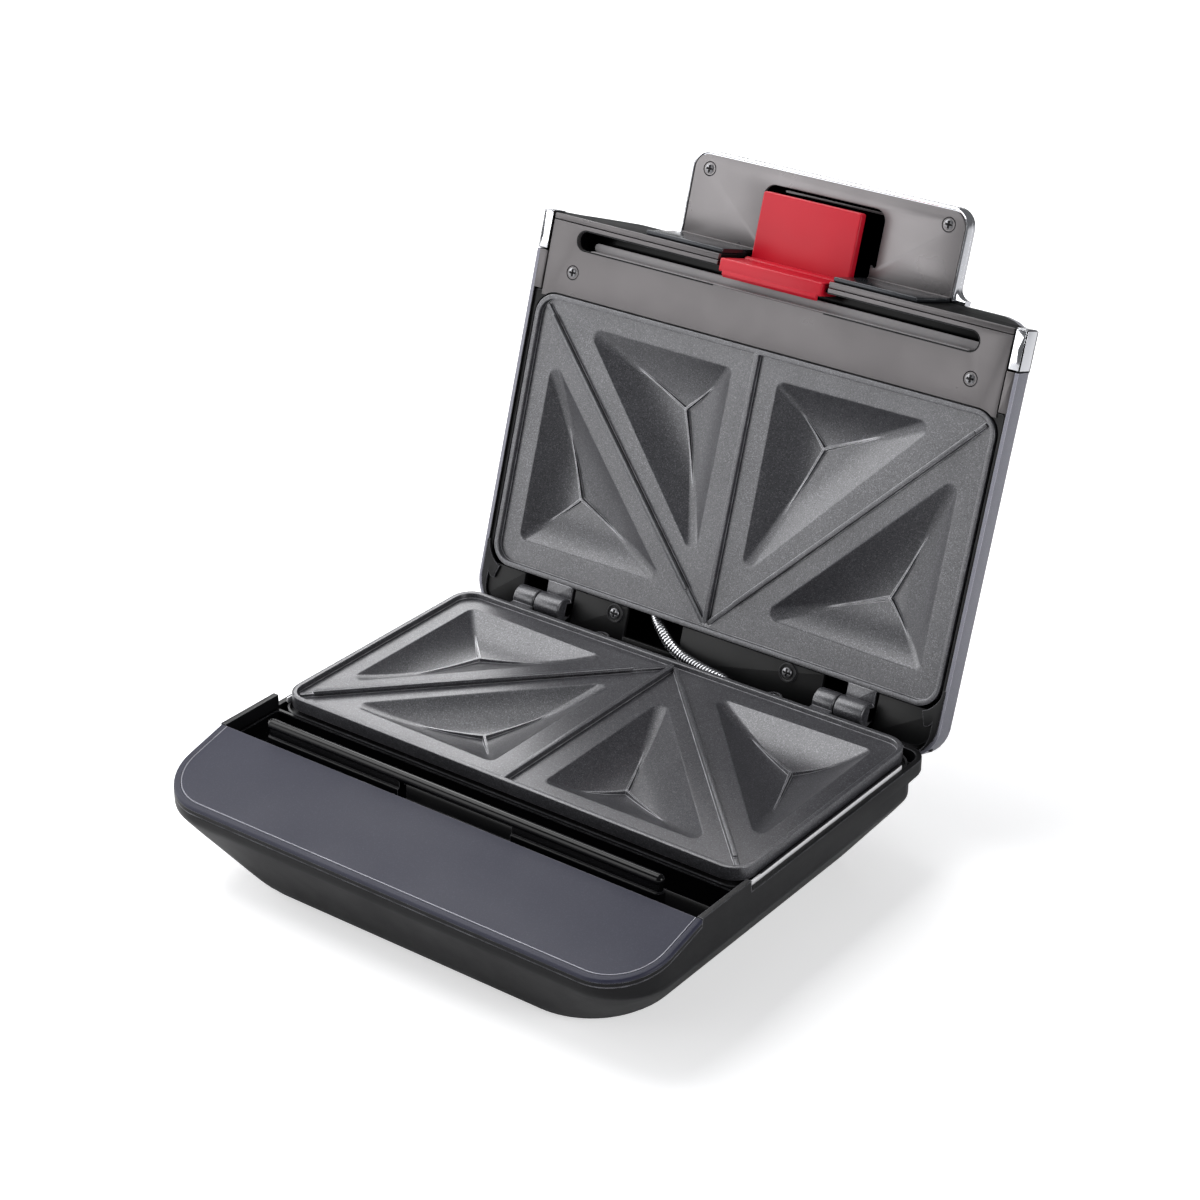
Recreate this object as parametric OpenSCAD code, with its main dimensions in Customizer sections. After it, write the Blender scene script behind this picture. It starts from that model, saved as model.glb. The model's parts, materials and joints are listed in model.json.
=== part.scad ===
// Sandwich toaster with a hinged lid: four triangular pockets a plate, open at rest.
// Origin: middle of the open toaster's outline in plan, on the plane that the feet stand on.
// +X right, +Y back, +Z up.
// Base pieces are drawn about the middle of the lower plate's rim plane.
// Lid pieces are drawn closed in that same frame, then turned open about the hinge axis.

/* [Base] */
// Height of the lower plate's rim above the table
rim_z = 52; // [50:0.5:56]
// Half of the base's width
base_hw = 119.5; // [119:0.5:120]
// Front edge of the base, from the middle of the plate
base_front_y = -134.5; // [-138:0.5:-132]
// Rear edge of the base's upper flange
base_rear_y = 67.5; // [67:0.5:67.5]
// Radius of the front corners in plan
base_front_r = 24; // [16:1:28]
// Wall thickness of the plastic base
base_wall = 2.5; // [2:0.1:2.6]

/* [Front deck] */
// Rear edge of the sloped front deck, where the well begins
deck_back_y = -92; // [-93:0.5:-91]
// Fall of the deck in degrees
deck_slope = 14; // [12:1:16]
// Thickness of the deck panel
deck_t = 3; // [2:0.5:3]

/* [Plates] */
// Half width of the lower plate
lower_plate_hw = 115; // [114:0.5:115.5]
// Depth of the lower plate, front to back
lower_plate_d = 121; // [119:0.5:121]
// Half width of the upper plate
upper_plate_hw = 115; // [114:0.5:115.5]
// Depth of the upper plate, front to back
upper_plate_d = 123; // [121:0.5:123]
// Corner radius of the plates
plate_r = 10; // [8:0.5:12]
// Depth of the sealing land below the rim
land_drop = 2.4; // [1.5:0.1:3]
// Depth of a pocket below the land
pocket_depth = 8.5; // [7:0.5:9]
// Thickness of the dividing blades
blade_t = 2.2; // [1.8:0.1:2.6]

/* [Lid] */
// Opening angle of the lid, in degrees from shut
lid_open = 107.6; // [80:0.2:107.6]
// Half width of the lid
lid_hw = 119.5; // [119:0.1:120]
// Height of the lid above the rim plane
lid_top = 36; // [34:0.5:38]
// Front face of the lid
lid_front_y = -96; // [-96.5:0.5:-95.5]
// Rear face of the lid
lid_rear_y = 83; // [82:0.5:84]
// Wall thickness of the lid cover
lid_wall = 1.8; // [1.4:0.1:2]
// Height of the upright band round the lid's edge
band_h = 9; // [7:0.5:10]

/* [Hinge] */
// Hinge axis behind the middle of the plate
hinge_y = 71.6; // [71:0.1:72]
// Hinge axis from the rim plane
hinge_z = -2.2; // [-2.4:0.1:-2]
// Radius of the hinge pins
hinge_pin_r = 2; // [1.5:0.1:2.2]
// Outer radius of the hinge knuckles
knuckle_r = 5.3; // [4.8:0.1:5.4]

/* [Handle and latch] */
// Half width of the handle
handle_hw = 68.5; // [64:0.5:70]
// Front edge of the handle
handle_front_y = -134.6; // [-138:0.2:-130]
// Underside of the handle above the rim plane
handle_z = 31; // [30:0.5:31.5]
// Half width of the latch tab
latch_hw = 24.4; // [20:0.2:25]
// Radius of the latch's pivot pin
latch_pin_r = 1.6; // [1.4:0.1:1.8]

/* [Hidden] */

$fn = 48;
hull_fn = 32;        // facets of circles inside a hull
eps = 0.01;          // overshoot of a cut past a face
gap = 0.3;           // clearance between pieces that move past each other
run = 0.05;          // radial clearance of a running fit

// Heights of the base, from the rim plane
wall_top_z = -1.5;               // side walls beside the well
step_z = -6.5;                   // side walls beside the plate
step_y = -60.5;                  // where the side walls step down
band_low_z = -20;                // lower edge of the upright band
flange_low_z = -13;              // lower edge of the rear flange
body_low_z = 3 - rim_z;          // underside of the plastic base
cover_t = 1.2;                   // sheet of the bottom cover
bottom_boss = [5, 14];           // bosses of the bottom screws: radius and height
base_rear_r = 9;
lower_rear_y = 58;               // rear wall below the flange
foot_hw = 98;                    // half width of the base at its underside
foot_front_y = -119;
foot_rear_y = 51;
foot_r = 34;
base_screw_y = 64.9;             // rear screws of the base
base_boss_top_z = -4;            // top of the bosses of the rear screws
inner_hw = base_hw - base_wall;  // half width inside the walls
past = 5;                        // reach of a cut past a piece

// Front well and catch rail
well_front_y = deck_back_y;
well_back_y = -63.5;
well_floor_z = -18;
well_wall = 1.8;
rail_y = -86.2;
rail_r = 2.2;
rail_top_z = 5.5;
rail_hw = 98;
rail_foot_z = -1.5;              // shoulder of the thicker foot of the rail
rail_notch_hw = 28;

// Lid parts
lid_flange_t = 0.9;              // flange under the lid, beside the black frame
lid_flange_hw = 115;             // its inner edge
cap_w = 5.4;                     // width of an end cap
// sections of the dome from the band up: height, half width, rear edge, rear corner radius
dome = [
  [band_h, lid_hw, lid_rear_y, 15],
  [band_h + 6, lid_hw - 9, lid_rear_y - 4, 16],
  [band_h + 17, lid_hw - 17, lid_rear_y - 11, 18],
  [lid_top, lid_hw - 27, lid_rear_y - 22, 20]
];
lens_x = [-14, 14];
lens_y = -70;
lens_r = 3;
frame_z = 1.2;                   // underside of the black inner frame
bar_z = 0.4;                     // face of the front bar
bar_t = 2;
bar_hw = 113.5;
bar_back_y = -62.2;
slot_y = -87;
slot_r = 4.1;
slot_hw = 99.5;
slot_lip_y = -93.4;
bar_screw = [99.1, -72.4];
rear_screw_x = 44.8;             // rear screws of lid and base
lid_screw_y = 66;
lid_boss_low_z = 0;
rear_boss_r = 4.2;
cap_back_y = -79.6;
latch_cut_hw = latch_hw + 3;

// Handle
handle_plate_t = 1.6;
handle_t = 6.5;                  // plate and shell together
handle_r = 8;
handle_screw = [59.4, -127];
// Rearmost reach of the open lid: the outer edge of the handle
rear_reach = hinge_y + (handle_front_y - hinge_y) * cos(lid_open)
  + (handle_z + handle_t - hinge_z) * sin(lid_open);
// Middle of the plate in the part's own frame: the open toaster is centred on the origin
plate_y = -(base_front_y + rear_reach) / 2;
leg_front_y = lid_front_y - 2.1;
window_hw = 30;
window_front_y = -126.5;
window_back_y = -102.5;
window_r = 6;

// Latch
latch_pivot = [-92.2, 19.5];     // y and z of the pivot
latch_tab_z = 21;
latch_tab_t = 4;
latch_tip_y = -124;
latch_leg = [-94.8, -89.2];      // front and back face of the leg
latch_low_z = -1.2;
latch_barrel_r = 3.6;
latch_bore_r = latch_pin_r + run;
latch_lug_x = 31;

// Plates: underside of the skirts, and width of the rims
lower_skirt_z = -5.8;
upper_skirt_z = -8;
rim_w = 2.2;
plate_t = 3.2;                   // thickness below the land
pocket_t = 2.6;                  // thickness below a pocket
lower_arm_z = [-6.3, -2.4];      // heights of the arms that carry the knuckles
upper_arm_z = [0.8, 6.5];

// Hinge knuckles: first and last x of each
lower_knuckles = [[-94, -83], [63, 73]];
upper_knuckles = [[-82.6, -69], [73.4, 87]];

// Latch spring: radius of its wire and of its coil
spring_wire_r = 0.3;
spring_coil_r = 2.6;

// Heating and electrics
heater_r = 3.2;
heater_bend = 22;
heater_hw = 84;
heater_end_y = 46;
heater_z = -land_drop - pocket_depth - pocket_t - heater_r - gap;
reflector_rim_z = -7.2;
strip_top_z = -4.6;
lower_pan_z = heater_z - heater_r - 3;
thermostat_pos = [30, 8];
terminal_pos = [-60, 24, body_low_z + 2];
gland_pos = [-60, 54, -36];
gland_bore_r = 3.6;
gland_neck_r = 5.6;

// Armoured lead between base and lid, with the lid at rest
conduit_r = 2.6;
conduit_path = [
  [26, 63.6, -10], [24.5, 63.6, -6], [20, 64, -3.8], [13, 65, -3.6], [3, 67.5, -3.7],
  [-6.5, 70.5, -3.4], [-15, 74, -1.3], [-24, 80, 1.4], [-30, 86, 1.6], [-34, 91, 0.5]
];
conduit_slot = [-39, -10];       // opening in the lid's frame, in x

// Screws: head radius, head height, shank radius
screw_head_r = 2.5;
screw_seat_r = 3.4;               // seats and bushes round the visible heads
screw_head_h = 1.3;
screw_shank_r = 1.5;
foot_pos = [[-78, -96], [78, -96], [-78, 40.5], [78, 40.5]];
bottom_screw_pos = [[-88, -60], [88, -60], [-88, 8], [88, 8]];

// ---- Frames -----------------------------------------------------------------

// Puts a base piece in the part's frame
module in_base() {
  translate([0, plate_y, rim_z]) children();
}

// Puts a lid piece, drawn closed, in the part's frame with the lid open
module in_lid() {
  translate([0, plate_y + hinge_y, rim_z + hinge_z])
    rotate([-lid_open, 0, 0])
      translate([0, -hinge_y, -hinge_z]) children();
}

// ---- Shared shapes ----------------------------------------------------------

// Outline in plan: half width, front and rear edge, front and rear corner radius
module plan(hw, y0, y1, rf, rr) {
  polygon([
    [-hw + rf, y0], [hw - rf, y0], [hw, y0 + rf], [hw, y1 - rr],
    [hw - rr, y1], [-hw + rr, y1], [-hw, y1 - rr], [-hw, y0 + rf]
  ]);
  for (s = [-1, 1]) {
    translate([s * (hw - rf), y0 + rf]) circle(rf);
    translate([s * (hw - rr), y1 - rr]) circle(rr);
  }
}

// A thin slice of an outline, used as one end of a blend
module slice(z, hw, y0, y1, rf, rr) {
  translate([0, 0, z])
    linear_extrude(eps) plan(hw, y0, y1, rf, rr, $fn = hull_fn);
}

// Rounded slab between two heights
module slab(z0, z1, hw, y0, y1, rf, rr) {
  translate([0, 0, z0])
    linear_extrude(z1 - z0) plan(hw, y0, y1, rf, rr);
}

// Box from its two corners
module block(lo, hi) {
  translate(lo) cube(hi - lo);
}

// Cylinder along X between two x values
module rod_x(x0, x1, r) {
  translate([x0, 0, 0]) rotate([0, 90, 0]) cylinder(h = x1 - x0, r = r);
}

// Copies its children to both sides of the middle plane
module both_sides() {
  children();
  mirror([1, 0, 0]) children();
}

// Outline of a stadium along X
module stadium(hw, r) {
  square([2 * (hw - r), 2 * r], center = true);
  for (s = [-1, 1]) translate([s * (hw - r), 0]) circle(r);
}

// Cross-head screw, head up, with its seat at the origin
module screw(length) {
  difference() {
    cylinder(h = screw_head_h, r = screw_head_r);
    for (a = [0, 90])
      rotate([0, 0, a])
        translate([-screw_head_r * 0.6, -0.4, screw_head_h - 0.7]) cube([screw_head_r * 1.2, 0.8, 1]);
  }
  translate([0, 0, -length]) cylinder(h = length, r = screw_shank_r);
}

// ---- Base shell ---------------------------------------------------------------

// Height of the deck's upper face at y
function deck_z(y) = -2 + (y - deck_back_y) * tan(deck_slope);

// Side view of everything above the deck, lowered by drop
module above_deck(drop) {
  far_y = base_front_y - 10;
  rotate([90, 0, 90])
    translate([0, 0, -base_hw - 5])
      linear_extrude(2 * base_hw + 10)
        polygon([
          [deck_back_y, deck_z(deck_back_y) - drop], [far_y, deck_z(far_y) - drop],
          [far_y, 20], [deck_back_y, 20]
        ]);
}

// Outer form of the base, grown inwards by wall
module base_form(wall) {
  hw = base_hw - wall;
  slab(band_low_z, 5, hw, base_front_y + wall, lower_rear_y - wall,
       base_front_r - wall, base_rear_r - wall);
  slab(flange_low_z + wall, 5, hw, 0, base_rear_y - wall, 1, base_rear_r - wall);
  hull() {
    slice(band_low_z, hw, base_front_y + wall, lower_rear_y - wall,
          base_front_r - wall, base_rear_r - wall);
    slice(body_low_z + wall, foot_hw - wall, foot_front_y + wall, foot_rear_y - wall,
          foot_r - wall, foot_r - 14 - wall);
  }
}

module base_housing() {
  color([0.06, 0.06, 0.065]) in_base()
    difference() {
      union() {
        difference() {
          base_form(0);
          base_form(base_wall);
        }
        // bosses for the bottom screws
        for (p = bottom_screw_pos)
          translate([p[0], p[1], body_low_z]) cylinder(h = bottom_boss[1], r = bottom_boss[0]);
        // bosses for the rear screws
        for (s = [-1, 1])
          translate([s * rear_screw_x, base_screw_y, step_z - 0.6])
            cylinder(h = base_boss_top_z - step_z + 0.6, r = rear_boss_r);
        // floor of the rear flange
        block([-100, 54, flange_low_z], [100, base_rear_y - 4, flange_low_z + base_wall]);
        // shelf behind the plate
        block([-108, 61.9, step_z - 2], [108, base_rear_y - 2, step_z]);
      }
      // the deck panel lies in the front
      above_deck(deck_t);
      // side walls stand up only beside the well
      block([-base_hw - 1, deck_back_y - eps, wall_top_z], [base_hw + 1, 80, 20]);
      block([-base_hw - 1, step_y, step_z], [base_hw + 1, 60, 20]);
      difference() {
        block([-base_hw - 1, 55, step_z], [base_hw + 1, 80, 20]);
        for (s = [-1, 1])
          translate([s * rear_screw_x, base_screw_y, step_z - 1])
            cylinder(h = base_boss_top_z - step_z + 1, r = rear_boss_r);
      }
      // open underside
      translate([0, 0, body_low_z - 1])
        linear_extrude(6)
          plan(foot_hw - 8, foot_front_y + 8, foot_rear_y - 8, foot_r - 8, foot_r - 22);
      for (p = bottom_screw_pos)
        translate([p[0], p[1], body_low_z - 1]) cylinder(h = 12, r = screw_shank_r);
      for (s = [-1, 1])
        translate([s * rear_screw_x, base_screw_y, step_z - 5]) cylinder(h = 11, r = screw_shank_r);
      // cut-outs under the hinge knuckles
      for (k = [
        [lower_knuckles[0][0], upper_knuckles[0][1]],
        [lower_knuckles[1][0], upper_knuckles[1][1]]
      ])
        block([k[0] - 1, hinge_y - knuckle_r - 0.6, hinge_z - knuckle_r - 0.6], [k[1] + 1, 80, 0]);
      // seat of the cord gland
      translate(gland_pos) rotate([-90, 0, 0]) cylinder(h = 20, r = gland_neck_r, center = true);
      // way down for the conduit
      block([18, 60.5, flange_low_z - 1], [30, 66.8, 0]);
    }
}

module bottom_cover() {
  color([0.2, 0.2, 0.21]) in_base()
    difference() {
      translate([0, 0, body_low_z - cover_t])
        linear_extrude(cover_t)
          plan(foot_hw - 2, foot_front_y + 2, foot_rear_y - 2, foot_r - 2, foot_r - 16);
      for (p = bottom_screw_pos)
        translate([p[0], p[1], body_low_z - 2]) cylinder(h = 4, r = screw_shank_r);
      // vent slots
      for (i = [-3:3])
        translate([i * 16, -30, body_low_z - 2])
          linear_extrude(4) rotate(90) stadium(14, 1.5);
    }
}

module front_deck_panel() {
  color([0.36, 0.36, 0.41]) in_base()
    difference() {
      slab(-30, 0, base_hw, base_front_y, deck_back_y + 30, base_front_r, 1);
      above_deck(0);
      block([-base_hw - 1, deck_back_y, -40], [base_hw + 1, 0, 10]);
      // everything lower than the panel
      difference() {
        block([-base_hw - 1, base_front_y - 1, -40], [base_hw + 1, deck_back_y + 1, 10]);
        above_deck(deck_t);
      }
    }
}

module front_well() {
  color([0.03, 0.03, 0.03]) in_base()
    difference() {
      block([-inner_hw + gap, well_front_y - well_wall, well_floor_z - well_wall],
            [inner_hw - gap, well_back_y + well_wall, step_z - 0.5]);
      block([-inner_hw + gap + well_wall, well_front_y, well_floor_z],
            [inner_hw - gap - well_wall, well_back_y, 10]);
    }
}

module catch_rail() {
  web = 3.2;
  foot = 5.4;
  rod_z = rail_top_z - rail_r;
  color([0.1, 0.1, 0.1]) in_base()
    difference() {
      union() {
        translate([0, rail_y, rod_z]) {
          rod_x(-rail_hw + rail_r, rail_hw - rail_r, rail_r);
          for (s = [-1, 1]) translate([s * (rail_hw - rail_r), 0, 0]) sphere(rail_r);
        }
        translate([0, rail_y, rail_foot_z])
          linear_extrude(rod_z - rail_foot_z) stadium(rail_hw - 0.6, web / 2);
        translate([0, rail_y, well_floor_z])
          linear_extrude(rail_foot_z - well_floor_z) stadium(rail_hw, foot / 2);
      }
      // notch that lets the latch reach under the rod
      block([-rail_notch_hw, rail_y - 5, -8], [rail_notch_hw, rail_y + 5, rail_top_z - 2 * rail_r]);
    }
}

// ---- Plates -------------------------------------------------------------------

// Corners of the four pockets at the land, as seen from above: outer pockets and inner pockets
function pocket_corners(hw, d) = let (x0 = 9, x1 = hw - 9, y0 = -d / 2 + 9, y1 = d / 2 - 9) [
  [[x1, y0 + 19], [x1, y1], [x0 + 18, y1]],
  [[x0, y1 - 19], [x0, y0], [x1 - 18, y0]]
];

// Frustum with three sides: the corners shrink towards their middle as they go down
module pocket_bowl(corners, z_top, z_low, shrink, grow) {
  mid = (corners[0] + corners[1] + corners[2]) / 3;
  top = [for (c = corners) let (v = c - mid) mid + v * (1 + grow / norm(v))];
  low = [for (c = corners) let (v = c - mid) mid + v * shrink * (1 + grow / norm(v))];
  pts = concat([for (c = top) [c[0], c[1], z_top]], [for (c = low) [c[0], c[1], z_low]]);
  polyhedron(points = pts, faces = [
    [2, 1, 0], [3, 4, 5], [0, 1, 4, 3], [1, 2, 5, 4], [2, 0, 3, 5]
  ]);
}

// All four pockets: a slanting pair on each side of the centre divider
module pockets(hw, d, z_top, z_low, shrink, grow) {
  both_sides()
    for (c = pocket_corners(hw, d)) pocket_bowl(c, z_top, z_low, shrink, grow);
}

// Thin upright blade between two points of the plan
module blade(a, b, z0, z1) {
  d = b - a;
  translate([a[0], a[1], z0])
    rotate([0, 0, atan2(d[1], d[0])])
      translate([0, -blade_t / 2, 0]) cube([norm(d), blade_t, z1 - z0]);
}

// Cast cooking plate, cooking side up, rim at z = 0
module cooking_plate(hw, d, skirt_z) {
  shrink = 0.3;
  difference() {
    union() {
      difference() {
        slab(skirt_z, 0, hw, -d / 2, d / 2, plate_r, plate_r);
        slab(skirt_z - 1, 1, hw - rim_w, -d / 2 + rim_w, d / 2 - rim_w, plate_r - rim_w, plate_r - rim_w);
      }
      slab(-land_drop - plate_t, -land_drop, hw - rim_w, -d / 2 + rim_w, d / 2 - rim_w,
           plate_r - rim_w, plate_r - rim_w);
      pockets(hw, d, -land_drop - 1, -land_drop - pocket_depth - pocket_t, shrink, 3);
    }
    pockets(hw, d, -land_drop + 0.02, -land_drop - pocket_depth, shrink, 0);
  }
  blade([0, -d / 2 + rim_w], [0, d / 2 - rim_w], -land_drop, 0);
  for (s = [-1, 1])
    blade([s * (hw - 5.5), -d / 2 + 5.5], [s * 1.5, d / 2 - rim_w - 2], -land_drop, 0);
}

// Round knuckle about the hinge axis
module knuckle(span, bore_r) {
  difference() {
    translate([0, hinge_y, hinge_z]) rod_x(span[0], span[1], knuckle_r);
    translate([0, hinge_y, hinge_z]) rod_x(span[0] - 1, span[1] + 1, bore_r);
  }
}

module lower_plate() {
  color([0.2, 0.2, 0.21]) in_base() {
    cooking_plate(lower_plate_hw, lower_plate_d, lower_skirt_z);
    for (k = lower_knuckles) {
      knuckle(k, hinge_pin_r);
      difference() {
        block([k[0], lower_plate_d / 2 - 1, lower_arm_z[0]], [k[1], hinge_y, lower_arm_z[1]]);
        translate([0, hinge_y, hinge_z]) rod_x(k[0] - 1, k[1] + 1, knuckle_r - 0.5);
      }
    }
  }
}

module upper_plate() {
  color([0.2, 0.2, 0.21]) in_lid() {
    translate([0, 0, gap])
      mirror([0, 0, 1])
        cooking_plate(upper_plate_hw, upper_plate_d, upper_skirt_z);
    for (k = upper_knuckles) {
      knuckle(k, hinge_pin_r + run);
      difference() {
        block([k[0], upper_plate_d / 2 - 1, upper_arm_z[0]], [k[1], hinge_y, upper_arm_z[1]]);
        translate([0, hinge_y, hinge_z]) rod_x(k[0] - 1, k[1] + 1, knuckle_r - 0.5);
      }
      // rib that carries the arm down to the knuckle
      difference() {
        block([k[0], hinge_y - 4, hinge_z], [k[1], hinge_y + 4, upper_arm_z[1]]);
        translate([0, hinge_y, hinge_z]) rod_x(k[0] - 1, k[1] + 1, knuckle_r - 0.5);
      }
    }
  }
}

module hinge_pins() {
  color([0.7, 0.7, 0.72]) in_base()
    translate([0, hinge_y, hinge_z]) {
      rod_x(lower_knuckles[0][0], upper_knuckles[0][1] - 0.5, hinge_pin_r);
      rod_x(lower_knuckles[1][0], upper_knuckles[1][1] - 0.5, hinge_pin_r);
    }
}

// ---- Heating and electrics ----------------------------------------------------

// Tubular heater bent to a U in plan, ends towards the back
module heater_tube(z) {
  run_y = heater_end_y - 12;
  translate([0, 0, z]) {
    rod_y(-heater_hw, -run_y + heater_bend, heater_end_y);
    rod_y(heater_hw, -run_y + heater_bend, heater_end_y);
    translate([0, -run_y, 0]) rod_x(-heater_hw + heater_bend, heater_hw - heater_bend, heater_r);
    for (s = [-1, 1])
      translate([s * (heater_hw - heater_bend), -run_y + heater_bend, 0])
        rotate([0, 0, s < 0 ? 180 : 270])
          rotate_extrude(angle = 90) translate([heater_bend, 0]) circle(heater_r);
    for (s = [-1, 1])
      translate([s * heater_hw, heater_end_y, 0])
        rotate([-90, 0, 0]) cylinder(h = 5, r = 1.6);
  }
}

// Cylinder along Y at x, between two y values
module rod_y(x, y0, y1) {
  translate([x, y0, 0]) rotate([-90, 0, 0]) cylinder(h = y1 - y0, r = heater_r);
}

// Spring-steel straps that hold the heater up against the plate
module heater_straps(z) {
  strap = [12, 16];     // width and length
  foot = 4.6;           // length of each flat foot
  for (x = [-46, 0, 46])
    translate([x - strap[0] / 2, -34 - strap[1] / 2, z - heater_r - 1])
      difference() {
        cube([strap[0], strap[1], 2 * heater_r + 1]);
        translate([-1, strap[1] / 2 - heater_r - 0.1, 1])
          cube([strap[0] + 2, 2 * heater_r + 0.2, 20]);
        for (y = [-1, strap[1] + 1 - foot])
          translate([-1, y, 1]) cube([strap[0] + 2, foot, 20]);
      }
}

// Pressed reflector: a rim that carries the plate and a shallower pan below it
module reflector(hw, d, z_rim, z_pan) {
  sheet = 0.8;
  ledge_z = z_rim - 2.4;
  side_w = 9;
  front_w = 6;
  rear_w = 8;
  difference() {
    union() {
      slab(ledge_z - sheet, z_rim, hw, -d / 2, d / 2, plate_r, plate_r);
      slab(z_pan - sheet, ledge_z, hw - side_w, -d / 2 + front_w, d / 2 - rear_w, plate_r, plate_r);
    }
    slab(ledge_z, z_rim + 1, hw - sheet, -d / 2 + sheet, d / 2 - sheet, plate_r - sheet, plate_r - sheet);
    slab(z_pan, z_rim, hw - side_w - sheet, -d / 2 + front_w + sheet, d / 2 - rear_w - sheet,
         plate_r - sheet, plate_r - sheet);
  }
}

module lower_reflector() {
  hw = inner_hw - gap;
  color([0.8, 0.8, 0.82]) in_base()
    difference() {
      union() {
        reflector(hw, 2 * 61.6, reflector_rim_z, lower_pan_z);
        // sides stand up past the wall as bright strips
        both_sides() block([hw - 0.8, -50, reflector_rim_z - 2], [hw, 50, strip_top_z]);
      }
      translate([thermostat_pos[0], thermostat_pos[1], lower_pan_z])
        cylinder(h = 6, r = 9.4, center = true);
      for (s = [-1, 1])
        translate([s * heater_hw, heater_end_y, heater_z])
          rotate([-90, 0, 0]) cylinder(h = 20, r = heater_r + 0.2, center = true);
      // way past the rim for the conduit
      block([20, 60, reflector_rim_z - 4], [31, 63, 0]);
    }
}

module lower_heater() {
  color([0.45, 0.45, 0.44]) in_base() heater_tube(heater_z);
}

module lower_heater_clamps() {
  color([0.7, 0.7, 0.7]) in_base() heater_straps(heater_z);
}

module thermostat() {
  color([0.85, 0.82, 0.75]) in_base()
    translate([thermostat_pos[0], thermostat_pos[1], lower_pan_z - 5.5]) {
      cylinder(h = 8.5, r = 9);
      translate([0, 0, 8.5]) cylinder(h = 2, r = 6.5);
      for (s = [-1, 1]) translate([s * 9 - 3, -3, 0.5]) cube([6, 6, 0.8]);
    }
}

module thermal_fuse() {
  color([0.9, 0.88, 0.8]) in_base()
    translate([-30, 8, lower_pan_z - 4]) {
      rod_x(-7, 7, 2);
      rod_x(-14, 14, 0.5);
    }
}

module terminal_block() {
  pitch = 9;
  color([0.9, 0.9, 0.86]) in_base()
    translate(terminal_pos)
      difference() {
        translate([-15, -7, -2]) cube([30, 14, 12]);
        for (x = [-pitch, 0, pitch]) {
          // screw from above, wire from front to back
          translate([x, 0, 3]) cylinder(h = 10, r = 2.6);
          translate([x, -10, 2]) rotate([-90, 0, 0]) cylinder(h = 20, r = 1.7);
        }
      }
}

// Round lead from one point to the next
module lead(points, r, facets) {
  for (i = [0:len(points) - 2])
    hull()
      for (p = [points[i], points[i + 1]]) translate(p) sphere(r, $fn = facets);
}

module base_wiring() {
  color([0.75, 0.2, 0.15]) in_base() {
    lead([terminal_pos + [-9, 8.5, 3], [-74, 42, -40], [-84, 46, -33]], 1.2, 12);
    lead([terminal_pos + [9, 8.5, 3], [-30, 40, -41], [-14, 30, -38]], 1.2, 12);
  }
}

module cord_gland() {
  half = 6;
  rim_r = gland_neck_r + 2;
  color([0.05, 0.05, 0.05]) in_base()
    translate(gland_pos) rotate([-90, 0, 0])
      difference() {
        union() {
          translate([0, 0, -half]) cylinder(h = 2 * half, r = gland_neck_r);
          translate([0, 0, -half]) cylinder(h = 1.6, r = rim_r);
          translate([0, 0, half - 2.8]) cylinder(h = 2.8, r = rim_r);
        }
        translate([0, 0, -half - 1]) cylinder(h = 2 * half + 2, r = gland_bore_r);
      }
}

module rubber_feet() {
  color([0.08, 0.08, 0.08]) in_base()
    for (p = foot_pos)
      translate([p[0], p[1], -rim_z]) cylinder(h = rim_z + body_low_z - cover_t, r = 8);
}

module bottom_screws() {
  color([0.6, 0.6, 0.62]) in_base()
    for (p = bottom_screw_pos)
      translate([p[0], p[1], body_low_z - cover_t]) mirror([0, 0, 1]) screw(9);
}

module base_rear_screws() {
  color([0.4, 0.4, 0.42]) in_base()
    for (s = [-1, 1])
      translate([s * rear_screw_x, base_screw_y, base_boss_top_z]) screw(7);
}

// ---- Lid ----------------------------------------------------------------------

// Dome form, grown inwards by wall; open_front pushes the front edge past the cover
module dome_form(wall, open_front) {
  y0 = lid_front_y - open_front;
  for (i = [0:2]) {
    a = dome[i];
    b = dome[i + 1];
    drop = i == 2 ? wall : 0;
    hull() {
      slice(a[0], a[1] - wall, y0, a[2] - wall, 1, a[3] - wall);
      slice(b[0] - drop - eps, b[1] - wall, y0, b[2] - wall, 1, b[3] - wall);
    }
  }
}

// Dome and band of the cover with the openings in them
module lid_shell() {
  difference() {
    union() {
      dome_form(0, 0);
      slab(0, band_h + 0.05, lid_hw, lid_front_y, lid_rear_y, 1, 15);
    }
    dome_form(lid_wall, past);
    slab(-1, band_h + 0.1, lid_hw - lid_wall, lid_front_y - past, lid_rear_y - lid_wall, 1, 15 - lid_wall);
    // corners taken by the end caps
    both_sides()
      block([lid_hw - 8, lid_front_y - 1, -1], [lid_hw + 8, cap_back_y + gap, band_h + 0.6]);
    for (x = lens_x) translate([x, lens_y, lid_top]) cylinder(h = 10, r = lens_r + 0.1, center = true);
  }
}

// Flange beside the black frame, round the right rear corner of the plate
module lid_flange() {
  corner = [upper_plate_hw - plate_r, upper_plate_d / 2 - plate_r];
  linear_extrude(lid_flange_t)
    difference() {
      intersection() {
        plan(lid_hw - 1, lid_front_y, lid_rear_y - 1, 1, 14);
        translate(corner) square(lid_hw);
      }
      translate(corner) circle(plate_r + 2);
      plan(lid_flange_hw, upper_plate_d / 2 + 1, lid_rear_y - lid_wall, 3, 12);
    }
}

module lid_cover() {
  color([0.6, 0.6, 0.64]) in_lid() {
    lid_shell();
    both_sides() {
      // ledge beside the front bar
      block([bar_hw + 0.6, cap_back_y + gap, 0], [lid_hw - 1, bar_back_y, lid_wall]);
      lid_flange();
    }
  }
}

module indicator_lenses() {
  color([0.8, 0.15, 0.1]) in_lid()
    for (x = lens_x)
      translate([x, lens_y, lid_top - 4]) {
        cylinder(h = 4.8, r = lens_r);
        cylinder(h = 1.9, r = lens_r + 1.4);
      }
}

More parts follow.
